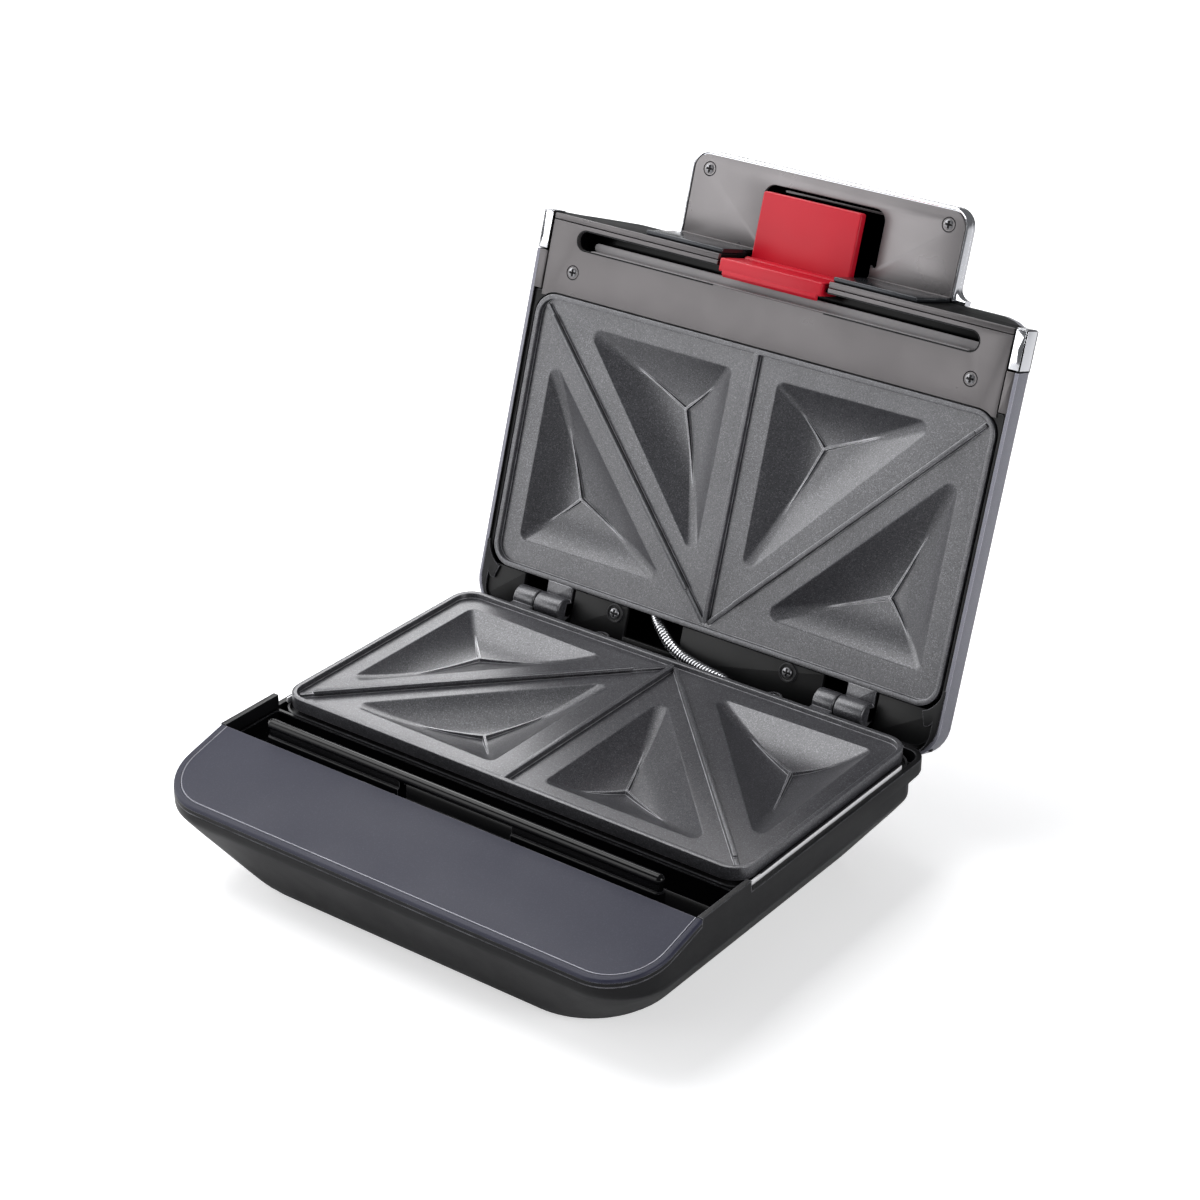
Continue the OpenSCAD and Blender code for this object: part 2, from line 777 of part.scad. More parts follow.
module indicator_lamps() {
  color([0.9, 0.9, 0.85]) in_lid()
    for (x = lens_x)
      translate([x, lens_y, lid_top - 13]) {
        cylinder(h = 9, r = 2.4);
        translate([-4, -4, -1.5]) cube([8, 8, 1.5]);
      }
}

module lid_front_wall() {
  color([0.04, 0.04, 0.04]) in_lid() {
    difference() {
      intersection() {
        union() {
          dome_form(lid_wall + 0.1, past);
          slab(bar_z + bar_t + 0.1, band_h + 0.05, lid_hw - cap_w - gap, lid_front_y - past,
               lid_rear_y, 1, 10);
        }
        block([-lid_hw, lid_front_y, 0], [lid_hw, lid_front_y + lid_wall, lid_top]);
      }
      block([-latch_cut_hw, lid_front_y - past, -past],
            [latch_cut_hw, lid_front_y + past, latch_tab_z + 8]);
      // relief for the spring
      block([latch_cut_hw - 1, lid_front_y + 0.6, latch_pivot[1] - spring_coil_r - 0.7],
            [latch_lug_x - 1.5, lid_front_y + past, latch_pivot[1] + spring_coil_r + 0.7]);
      // clear of the end caps
      both_sides()
        block([lid_hw - cap_w - gap, lid_front_y - past, band_h - 1],
              [lid_hw, lid_front_y + past, band_h + 0.6]);
    }
    latch_lugs();
  }
}

// Moves its children to the latch's pivot
module at_pivot() {
  translate([0, latch_pivot[0], latch_pivot[1]]) children();
}

// Lugs behind the front wall that carry the latch's pin
module latch_lugs() {
  for (s = [-1, 1])
    translate([s * latch_lug_x, 0, 0])
      difference() {
        block([-1.5, lid_front_y + 1.7, latch_pivot[1] - 5],
              [1.5, latch_pivot[0] + 5.2, latch_pivot[1] + 5]);
        at_pivot() rod_x(-past, past, latch_pin_r);
      }
}

module lid_inner_frame() {
  ring_w = 1.3;
  color([0.05, 0.05, 0.05]) in_lid()
    difference() {
      union() {
        // ring beside the plate
        difference() {
          slab(frame_z, band_h - 0.2, lid_hw - lid_wall - run, bar_back_y + 0.6,
               lid_rear_y - lid_wall - run, 1, 13.3);
          slab(frame_z - 1, 20, upper_plate_hw + 0.4, bar_back_y - past, upper_plate_d / 2 + 0.4,
               1, plate_r);
          slab(frame_z + 2, 20, lid_hw - lid_wall - ring_w, lid_front_y - past,
               lid_rear_y - lid_wall - ring_w, 1, 11);
        }
        // bosses for the rear screws
        for (s = [-1, 1])
          translate([s * rear_screw_x, lid_screw_y, lid_boss_low_z]) cylinder(h = 8, r = rear_boss_r);
      }
      // room for the knuckles and their arms
      for (k = concat(upper_knuckles, lower_knuckles))
        block([k[0] - 1.5, 60, -10], [k[1] + 1.5, 78, 30]);
      for (s = [-1, 1])
        translate([s * rear_screw_x, lid_screw_y, -5]) cylinder(h = 20, r = screw_shank_r);
      block([conduit_slot[0], 60, -1], [conduit_slot[1], 75, 20]);
    }
}

module front_bar() {
  color([0.49, 0.48, 0.48]) in_lid()
    difference() {
      translate([0, 0, bar_z])
        linear_extrude(bar_t)
          difference() {
            union() {
              translate([-bar_hw, lid_front_y]) square([2 * bar_hw, bar_back_y - lid_front_y]);
              // corners that reach round the plate
              for (s = [-1, 1])
                difference() {
                  translate([s * (bar_hw - 3.25) - 3.25, bar_back_y - 1]) square([6.5, 3.2]);
                  translate([s * (upper_plate_hw - plate_r), -upper_plate_d / 2 + plate_r])
                    circle(plate_r + 0.7);
                }
            }
            translate([0, slot_y]) stadium(slot_hw, slot_r);
            translate([-latch_cut_hw, lid_front_y - 1]) square([2 * latch_cut_hw, slot_y - lid_front_y + 1]);
            for (s = [-1, 1]) translate([s * bar_screw[0], bar_screw[1]]) circle(screw_shank_r);
          }
      // countersunk seats
      for (s = [-1, 1])
        translate([s * bar_screw[0], bar_screw[1], bar_z - 0.4]) cylinder(h = 1.5, r = screw_seat_r);
      // fine line along the lip
      block([-bar_hw - 1, slot_lip_y - 0.25, bar_z - 1], [bar_hw + 1, slot_lip_y + 0.25, bar_z + 0.35]);
    }
}

module slot_liner() {
  t = 1.2;
  top_z = 13;
  color([0.6, 0.6, 0.6]) in_lid()
    difference() {
      translate([0, slot_y, bar_z + bar_t])
        linear_extrude(top_z - bar_z - bar_t) stadium(slot_hw + t, slot_r + t);
      translate([0, slot_y, 0]) linear_extrude(top_z - t) stadium(slot_hw, slot_r);
      block([-latch_cut_hw, lid_front_y, 0], [latch_cut_hw, slot_y + 0.5, 30]);
    }
}

// Plated corner cap on the right; the left one is its mirror image
module end_cap() {
  t = 1.6;
  difference() {
    block([lid_hw - cap_w, lid_front_y - 0.6, 0], [lid_hw, cap_back_y, band_h + 0.5]);
    block([lid_hw - cap_w + t, lid_front_y + 1.9, t], [lid_hw - t, cap_back_y + 1, band_h + 2]);
  }
}

module end_cap_left() {
  color([0.85, 0.85, 0.87]) in_lid() mirror([1, 0, 0]) end_cap();
}

module end_cap_right() {
  color([0.85, 0.85, 0.87]) in_lid() end_cap();
}

module bar_screws() {
  color([0.5, 0.5, 0.52]) in_lid()
    for (s = [-1, 1])
      translate([s * bar_screw[0], bar_screw[1], bar_z + 1.1]) mirror([0, 0, 1]) screw(7);
}

module lid_rear_screws() {
  color([0.4, 0.4, 0.42]) in_lid()
    for (s = [-1, 1])
      translate([s * rear_screw_x, lid_screw_y, lid_boss_low_z]) mirror([0, 0, 1]) screw(7);
}

module upper_reflector() {
  color([0.8, 0.8, 0.82]) in_lid()
    mirror([0, 0, 1])
      difference() {
        reflector(upper_plate_hw - 5, upper_plate_d - 4, -9.2, heater_z - heater_r - 1.5);
        for (s = [-1, 1])
          translate([s * heater_hw, heater_end_y, heater_z - gap])
            rotate([-90, 0, 0]) cylinder(h = 20, r = heater_r + 0.2, center = true);
      }
}

module upper_heater() {
  color([0.45, 0.45, 0.44]) in_lid() mirror([0, 0, 1]) heater_tube(heater_z - gap);
}

module upper_heater_clamps() {
  color([0.7, 0.7, 0.7]) in_lid() mirror([0, 0, 1]) heater_straps(heater_z - gap);
}

// ---- Handle and latch ---------------------------------------------------------

// Outline of the handle in plan with round front corners
module handle_outline(grow) {
  hw = handle_hw + grow;
  y0 = handle_front_y - grow;
  polygon([
    [-hw + handle_r, y0], [hw - handle_r, y0], [hw, y0 + handle_r],
    [hw, leg_front_y], [-hw, leg_front_y], [-hw, y0 + handle_r]
  ]);
  for (s = [-1, 1]) translate([s * (hw - handle_r), y0 + handle_r]) circle(handle_r);
}

// Opening for the latch: a rounded window and the narrower way down from it
module handle_window(grow) {
  plan(window_hw + grow, window_front_y - grow, window_back_y + grow, window_r, window_r);
  translate([-latch_cut_hw, window_back_y - 2]) square([2 * latch_cut_hw, 20]);
}

module handle_plate() {
  color([0.49, 0.48, 0.48]) in_lid()
    difference() {
      union() {
        translate([0, 0, handle_z]) linear_extrude(handle_plate_t) handle_outline(-1.2);
        block([-handle_hw + 1.2, leg_front_y, bar_z],
              [handle_hw - 1.2, lid_front_y - 0.1, handle_z + handle_plate_t]);
      }
      translate([0, 0, handle_z - 1]) linear_extrude(10) handle_window(0);
      block([-latch_cut_hw, leg_front_y - past, -past], [latch_cut_hw, lid_front_y + past, handle_z + past]);
      for (s = [-1, 1])
        translate([s * handle_screw[0], handle_screw[1], 0]) {
          cylinder(h = 60, r = screw_shank_r);
          translate([0, 0, handle_z - 1]) cylinder(h = 2, r = screw_seat_r);
        }
    }
}

module handle_shell() {
  t = handle_t - handle_plate_t;
  flare = 5;
  z0 = handle_z + handle_plate_t;
  color([0.85, 0.85, 0.87]) in_lid()
    difference() {
      union() {
        translate([0, 0, z0]) linear_extrude(t) handle_outline(0);
        // edge that wraps the plate on three sides
        translate([0, 0, handle_z - 0.1])
          linear_extrude(handle_plate_t + 0.2)
            difference() {
              handle_outline(0);
              handle_outline(-1.15);
              translate([-lid_hw, leg_front_y - 1]) square([2 * lid_hw, 10]);
            }
        // concave flares where the handle meets the lid
        both_sides()
          translate([handle_hw, leg_front_y, z0])
            linear_extrude(t)
              difference() {
                translate([-0.5, -flare]) square([flare + 0.5, flare]);
                translate([flare, -flare]) circle(flare);
              }
        translate([-handle_hw - flare, leg_front_y, z0]) cube([2 * (handle_hw + flare), 2, t]);
      }
      // recess behind the latch
      translate([0, 0, handle_z - 1]) linear_extrude(5.4) handle_window(0.8);
      for (s = [-1, 1])
        translate([s * handle_screw[0], handle_screw[1], z0 - 1]) cylinder(h = 4.2, r = screw_shank_r);
    }
}

module handle_screws() {
  color([0.5, 0.5, 0.52]) in_lid()
    for (s = [-1, 1])
      translate([s * handle_screw[0], handle_screw[1], handle_z + 1]) mirror([0, 0, 1]) screw(3);
}

module latch() {
  leg_hw = latch_hw + 0.9;
  tab_top_z = latch_tab_z + latch_tab_t;
  color([0.78, 0.1, 0.14]) in_lid()
    difference() {
      union() {
        block([-latch_hw, latch_tip_y, latch_tab_z], [latch_hw, latch_leg[1], tab_top_z]);
        block([-leg_hw, latch_leg[0], latch_low_z], [leg_hw, latch_leg[1], tab_top_z]);
        // tooth that goes under the rail
        translate([0, latch_leg[1], latch_low_z])
          rotate([90, 0, 90])
            translate([0, 0, -latch_hw + 1])
              linear_extrude(2 * latch_hw - 2)
                polygon([[-1, 0], [1, 0], [2.2, 1.1], [2.2, 1.9], [-1, 1.9]]);
        at_pivot() rod_x(-leg_hw, leg_hw, latch_barrel_r);
      }
      at_pivot() rod_x(-leg_hw - past, leg_hw + past, latch_bore_r);
    }
}

module latch_pin() {
  color([0.7, 0.7, 0.72]) in_lid()
    at_pivot() rod_x(-latch_lug_x - 2.5, latch_lug_x + 2.5, latch_pin_r);
}

// Coil on the pin, between the latch and the right lug
module latch_spring() {
  pitch = 0.75;
  turns = 3.5;
  steps = 16;
  x0 = latch_hw + 1.6;
  color([0.75, 0.75, 0.76]) in_lid()
    at_pivot()
      lead([
        for (i = [0:turns * steps])
          let (a = 360 * i / steps)
            [x0 + pitch * i / steps, spring_coil_r * cos(a), spring_coil_r * sin(a)]
      ], spring_wire_r, 8);
}

// ---- Conduit --------------------------------------------------------------------

// Armoured lead from the base to the lid
module conduit() {
  color([0.75, 0.75, 0.77]) in_base() lead(conduit_path, conduit_r, 20);
}

// ---- Assembly -------------------------------------------------------------------

base_housing();
bottom_cover();
front_deck_panel();
front_well();
catch_rail();
lower_plate();
lower_reflector();
lower_heater();
lower_heater_clamps();
thermostat();
thermal_fuse();
terminal_block();
base_wiring();
cord_gland();
rubber_feet();
bottom_screws();
base_rear_screws();
hinge_pins();
lid_cover();
lid_front_wall();
lid_inner_frame();
front_bar();
slot_liner();
end_cap_left();
end_cap_right();
bar_screws();
lid_rear_screws();
upper_plate();
upper_reflector();
upper_heater();
upper_heater_clamps();
indicator_lenses();
indicator_lamps();
handle_shell();
handle_plate();
handle_screws();
latch_pin();
latch_spring();
latch();
conduit();
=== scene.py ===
# %% [markdown]
# # A sandwich toaster, open, with triangular pockets
# The CAD model is the fixed frame of this scene: it decides where every part is, how large it is and how it
# moves. This script only decides how the parts look. Each visible part is drawn again as a finer surface in
# the same place, and the parts inside keep their CAD shape and get a finish of their own.

# %% Load the CAD frame
import json
import math

import bmesh
import bpy
import numpy as np
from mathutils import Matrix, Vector


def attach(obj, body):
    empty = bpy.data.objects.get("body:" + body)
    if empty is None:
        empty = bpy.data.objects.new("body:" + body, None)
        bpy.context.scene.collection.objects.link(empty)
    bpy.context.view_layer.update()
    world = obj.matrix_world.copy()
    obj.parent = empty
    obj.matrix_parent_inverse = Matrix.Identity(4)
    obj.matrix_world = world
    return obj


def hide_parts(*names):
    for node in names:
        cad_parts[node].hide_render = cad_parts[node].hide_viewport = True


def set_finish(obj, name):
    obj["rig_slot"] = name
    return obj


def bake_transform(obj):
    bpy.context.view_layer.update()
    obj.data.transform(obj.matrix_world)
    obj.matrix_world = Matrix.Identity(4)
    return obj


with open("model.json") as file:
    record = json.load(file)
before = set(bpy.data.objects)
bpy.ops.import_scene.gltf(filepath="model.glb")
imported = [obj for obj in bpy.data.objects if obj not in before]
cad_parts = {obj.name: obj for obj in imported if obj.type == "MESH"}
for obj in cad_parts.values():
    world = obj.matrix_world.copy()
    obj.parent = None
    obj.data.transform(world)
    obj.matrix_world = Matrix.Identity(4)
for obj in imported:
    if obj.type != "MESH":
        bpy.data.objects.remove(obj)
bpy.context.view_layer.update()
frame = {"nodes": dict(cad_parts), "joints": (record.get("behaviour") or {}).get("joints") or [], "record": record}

# %% [markdown]
# ## Drawing coordinates
# A toaster is easiest to draw shut, in millimetres, about the middle of the lower plate's rim. The lid's
# parts are drawn lying on the base and are then turned open about the hinge. The hinge of the CAD model
# gives the way back to metres, so nothing can drift away from the frame.

# %% From drawing coordinates to the frame
hinge_at = next(j for j in frame["joints"] if j["name"] == "lid_hinge")["pos_m"]
hinge_y, hinge_z = 71.6, -2.2
lid_open = math.radians(107.6)
plate_y = hinge_at[1] * 1000 - hinge_y
rim_z = hinge_at[2] * 1000 - hinge_z


def place(points, body):
    """Drawing coordinates in mm to metres in the frame. Lid points turn about the hinge by the opening
    angle a: y becomes y cos a + z sin a, and z becomes z cos a - y sin a."""
    p = np.array(points, float)
    if body != "base":
        y, z = p[..., 1] - hinge_y, p[..., 2] - hinge_z
        p[..., 1] = hinge_y + y * math.cos(lid_open) + z * math.sin(lid_open)
        p[..., 2] = hinge_z - y * math.sin(lid_open) + z * math.cos(lid_open)
    return (p + (0, plate_y, rim_z)) / 1000


print("middle of the plate is at y", round(plate_y, 3), "and its rim at z", round(rim_z, 3))

# %% [markdown]
# ## Shapes as grids of points
# Almost every moulded or pressed part is an outline carried through a stack of sections, or a profile
# carried along a path. Both are grids of points, so one function turns a grid into faces and all the others
# only compute where the points are. A shape is a pair: its points, and its faces in groups of equal corner
# count.

# %% Grids and stacks


def grid(points, wrap_u=False, wrap_v=False):
    """Four-cornered faces between neighbours of a grid of points; a wrapped direction closes on itself."""
    index = np.arange(points.shape[0] * points.shape[1]).reshape(points.shape[:2])
    if wrap_u:
        index = np.vstack([index, index[:1]])
    if wrap_v:
        index = np.hstack([index, index[:, :1]])
    quads = np.stack([index[:-1, :-1], index[1:, :-1], index[1:, 1:], index[:-1, 1:]], -1)
    return points.reshape(-1, 3), [quads.reshape(-1, 4)]


def stack(rows):
    """Closed solid from a stack of closed outlines with equal point counts: walls between them and a lid
    on the first and the last."""
    points, faces = grid(rows, wrap_v=True)
    count = rows.shape[1]
    first = np.arange(count)[None, ::-1]
    return points, faces + [first, (np.arange(count) + len(points) - count)[None]]

# %% Join, mirror and copy shapes


def join(*shapes):
    """Several shapes as one; each shape's face numbers move up by the points before it."""
    starts = np.cumsum([0] + [len(p) for p, _ in shapes[:-1]])
    faces = [group + s for (_, groups), s in zip(shapes, starts) for group in groups]
    return np.concatenate([p for p, _ in shapes]), faces


def mirrored(shape):
    """The same shape on the other side of the middle plane."""
    return shape[0] * (-1, 1, 1), shape[1]


def both(shape):
    """The shape and its mirror image."""
    return join(shape, mirrored(shape))


def moved(shape, to, flip=False):
    """Shape at another place, turned upside down if flip is set."""
    return shape[0] * ((1, -1, -1) if flip else (1, 1, 1)) + np.array(to, float), shape[1]


def at_all(shape, places, flip=False):
    """One copy of a shape at each place."""
    return join(*[moved(shape, to, flip) for to in places])


print("a grid of 3 by 4 points has", len(grid(np.zeros((3, 4, 3)))[1][0]), "faces")

# %% [markdown]
# ## Outlines
# Corners of moulded parts are arcs. An outline is a list of corners and radii, turned into points once, and
# it can then be moved inwards to make bevels, walls and grooves that follow it. A bevel modifier would
# round corners too, but it leaves no line for the next wall or groove to follow.

# %% Arcs, rounded corners and insets


def arc(centre, radius, start, end, count):
    """Points of an arc, by angle in degrees."""
    t = np.radians(np.linspace(start, end, count))
    return np.array(centre) + radius * np.stack([np.cos(t), np.sin(t)], -1)


def rounded(corners, radii, per=7):
    """Polygon whose corners are arcs. The arc's centre lies on the corner's bisector, r / sin of half the
    corner's angle away, and the arc turns from one tangent point to the other."""
    c = np.array(corners, float)
    r = np.maximum(np.broadcast_to(radii, len(c)), 0.05)[:, None]
    u, v = np.roll(c, 1, 0) - c, np.roll(c, -1, 0) - c
    u /= np.linalg.norm(u, axis=1)[:, None]
    v /= np.linalg.norm(v, axis=1)[:, None]
    half = (np.arccos(np.clip((u * v).sum(1), -1, 1)) / 2)[:, None]
    centre = c + (u + v) / np.linalg.norm(u + v, axis=1)[:, None] * r / np.sin(half)
    a, b = c + u * r / np.tan(half) - centre, c + v * r / np.tan(half) - centre
    turn = (math.pi - 2 * half)[:, :, None]
    t = np.linspace(0, 1, per)[None, :, None]
    spread = (np.sin((1 - t) * turn) * a[:, None] + np.sin(t * turn) * b[:, None]) / np.sin(turn)
    return (centre[:, None] + spread).reshape(-1, 2)


def inset(outline, distance):
    """Outline moved inwards: each point moves by the sum of its two edges' inward normals, divided by one
    plus their dot product, so both edges end up that distance away."""
    e1, e2 = outline - np.roll(outline, 1, 0), np.roll(outline, -1, 0) - outline
    n1 = np.stack([-e1[:, 1], e1[:, 0]], -1) / np.maximum(np.linalg.norm(e1, axis=1), 1e-9)[:, None]
    n2 = np.stack([-e2[:, 1], e2[:, 0]], -1) / np.maximum(np.linalg.norm(e2, axis=1), 1e-9)[:, None]
    step = np.broadcast_to(distance, len(outline))[:, None]
    return outline + step * (n1 + n2) / np.maximum(1 + (n1 * n2).sum(1), 0.2)[:, None]

# %% Common outlines


def raised(outline, z):
    """Outline in plan given a height, one for all its points or one for each."""
    return np.column_stack([outline, np.broadcast_to(z, len(outline))])


def between(values, low, high):
    """True where a value lies between two limits."""
    return (values > low) & (values < high)


def plan(hw, y0, y1, front_r, rear_r, per=7):
    """Outline of a part in plan: half width, front and rear edge, corner radii at the front and the rear."""
    return rounded([[-hw, y0], [hw, y0], [hw, y1], [-hw, y1]], [front_r, front_r, rear_r, rear_r], per)


def stadium(x0, x1, y, r, per=9):
    """Slot with round ends along X."""
    return np.concatenate([arc([x1 - r, y], r, -90, 90, per), arc([x0 + r, y], r, 90, 270, per)])


print("a square with round corners has", len(rounded([[0, 0], [9, 0], [9, 9], [0, 9]], 2)), "points")

# %% [markdown]
# ## Slabs, turned parts, rings and strips
# A slab has quarter-round edges: the section at the face is inset by the bevel, and the inset shrinks on a
# quarter circle as the height grows. Turned parts are a profile carried round an axis. A ring is a slab
# with an outline inside as well as outside. A strip is a profile carried along a line. Modifiers for screws
# and wall thickness could make them, but points that are computed are known exactly.

# %% Slabs and boxes
AXES = {"z": (0, 1, 2), "x": (2, 0, 1), "y": (0, 2, 1)}


def quarter(bevel, steps=3):
    """Inset and height of a quarter-round edge."""
    t = np.linspace(0, math.pi / 2, steps + 1)
    return bevel * (1 - np.sin(t)), bevel * (1 - np.cos(t))


def slab(outline, lo, hi, bevel=0.4, axis="z", low_bevel=None):
    """Solid between two heights on an axis, with quarter-round edges on both faces."""
    rows = []
    for start, sign, b in ((lo, 1, bevel if low_bevel is None else low_bevel), (hi, -1, bevel)):
        part = [raised(inset(outline, d), start + sign * h) for d, h in zip(*quarter(b))]
        rows += part if sign > 0 else part[::-1]
    return stack(np.array(rows)[..., list(AXES[axis])])


def box(lo, hi, bevel=0.4, corner=None, axis="z"):
    """Rectangular block with rounded edges."""
    (x0, y0, z0), (x1, y1, z1) = lo, hi
    sides = {"z": (x0, y0, x1, y1, z0, z1), "x": (y0, z0, y1, z1, x0, x1), "y": (x0, z0, x1, z1, y0, y1)}
    a0, b0, a1, b1, lo_, hi_ = sides[axis]
    corners = rounded([[a0, b0], [a1, b0], [a1, b1], [a0, b1]], bevel if corner is None else corner, 4)
    return slab(corners, lo_, hi_, bevel, axis)

# %% Turned parts and rods


def turned(profile, centre=(0, 0, 0), axis="z", count=40, loop=False):
    """Part made on a lathe: every (radius, height) of the profile is carried round the axis. A profile that
    is a loop gives a part with a bore."""
    profile = np.array(profile, float)
    t = np.linspace(0, 2 * math.pi, count, endpoint=False)
    circle = np.stack([np.cos(t), np.sin(t), np.zeros(count)], -1)
    rows = profile[:, 0, None, None] * circle + profile[:, 1, None, None] * np.array([0, 0, 1])
    points = rows[..., list(AXES[axis])] + np.array(centre, float)
    return grid(points, wrap_u=True, wrap_v=True) if loop else stack(points)


def rod(x0, x1, y, z, r, bevel=0.3, count=36):
    """Round bar along X with softened ends."""
    d, h = quarter(bevel)
    ends = [(r - a, x0 + b) for a, b in zip(d, h)] + [(r - a, x1 - b) for a, b in zip(d[::-1], h[::-1])]
    return turned(ends, [0, y, z], "x", count)

# %% Rings, strips and shells


def ring(outer, inner, lo, hi, bevel=0.3):
    """Closed band between two outlines with equal point counts, with quarter-round edges. The profile runs
    up the outside, over the top, down the inside and back, so the grid closes both ways."""
    d, h = quarter(bevel)
    rows = [raised(inset(outer, a), lo + b) for a, b in zip(d, h)]
    rows += [raised(inset(outer, a), hi - b) for a, b in zip(d[::-1], h[::-1])]
    rows += [raised(inset(inner, -a), hi - b) for a, b in zip(d, h)]
    rows += [raised(inset(inner, -a), lo + b) for a, b in zip(d[::-1], h[::-1])]
    return grid(np.array(rows), wrap_u=True, wrap_v=True)


def strip(line, profile, axis=2):
    """Closed profile of (inset, height) carried along an open line, with both ends closed. The line is a
    function of the inset, and the height is put in as the coordinate of that axis."""
    rows = np.array([np.insert(line(d), axis, h, 1) for d, h in profile])
    points, faces = grid(rows, wrap_u=True)
    count = rows.shape[1]
    first = np.arange(len(profile)) * count
    return points, faces + [first[None, ::-1], (first + count - 1)[None]]


def shell(outer, inner):
    """Open shell from two grids of equal size, such as a cover without a front: each grid's last row is
    closed with one face, and strips join the grids along the first row and both side columns."""
    nu, nv = outer.shape[:2]
    o = np.arange(nu * nv).reshape(nu, nv)
    i = o + nu * nv
    quads = lambda a, b: np.stack([a[:-1], a[1:], b[1:], b[:-1]], -1).reshape(-1, 4)
    faces = [grid(outer)[1][0], grid(inner)[1][0][:, ::-1] + nu * nv]
    faces += [quads(i[0], o[0]), quads(o[:, 0], i[:, 0]), quads(i[:, -1], o[:, -1])]
    faces += [np.array([[o[-1, 0], i[-1, 0], i[-1, -1], o[-1, -1]]]), o[-1:, :], i[-1:, ::-1]]
    return np.concatenate([outer.reshape(-1, 3), inner.reshape(-1, 3)]), faces


print("a rod has", len(rod(0, 10, 0, 0, 2)[0]), "points")

# %% [markdown]
# ## From shape to piece
# A piece gets its points in the frame, normals that face outwards, smooth shading with sharp edges where
# two faces meet at a wide angle, one finish, and the body that it rides on. It also hides the CAD nodes
# that it stands for, and keeps the name of the slot from which its finish comes.

# %% Make a piece
made = {}


def piece(name, shape, body, slot, nodes=(), angle=32, ride=True):
    """Object with that shape on that body. Faces with five or more corners are the flat ends of stacks, so
    they stay flat. Finishes are given later, by slot."""
    points, faces = shape
    mesh = bpy.data.meshes.new(name)
    mesh.from_pydata(place(points, body).tolist(), [], [f for group in faces for f in group.tolist()])
    work = bmesh.new()
    work.from_mesh(mesh)
    bmesh.ops.remove_doubles(work, verts=work.verts, dist=2e-7)
    bmesh.ops.recalc_face_normals(work, faces=work.faces)
    work.to_mesh(mesh)
    work.free()
    corners = np.empty(len(mesh.polygons), np.int32)
    mesh.polygons.foreach_get("loop_total", corners)
    mesh.polygons.foreach_set("use_smooth", corners < 5)
    mesh.set_sharp_from_angle(angle=math.radians(angle))
    mesh.validate()
    made[name] = bpy.data.objects.new(name, mesh)
    bpy.context.scene.collection.objects.link(made[name])
    if ride:
        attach(made[name], body)
    if nodes:
        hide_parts(*nodes)
    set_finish(made[name], slot)
    print(f"{name}: {len(mesh.polygons)} faces")
    return made[name]


print("CAD nodes without a finer piece so far:", len(frame["nodes"]))

# %% [markdown]
# ## Finishes
# Every finish is procedural and starts from the same recipe: a base colour that drifts a little over the
# part, a roughness that varies as handling and moulding leave it, a fine grain as bump, and edges painted
# lighter, which is a painted highlight with a little wear. Speckled finishes add flecks: cells of a Voronoi
# pattern with a random colour above a threshold become fleck. Pattern scales are per metre, so 1600 gives
# cells of about 0.6 mm. Painted images could do the same, but noise needs no unwrapping and stays sharp at
# any distance.

# %% Colours


def colour(r, g, b):
    """Colour as seen on a screen, 0 to 255, to linear light: c / 12.92 near black, else ((c + 0.055) /
    1.055) to the power 2.4."""
    c = np.array([r, g, b]) / 255
    return (*np.where(c <= 0.04045, c / 12.92, ((c + 0.055) / 1.055) ** 2.4).tolist(), 1.0)

# %% Recipe for a finish


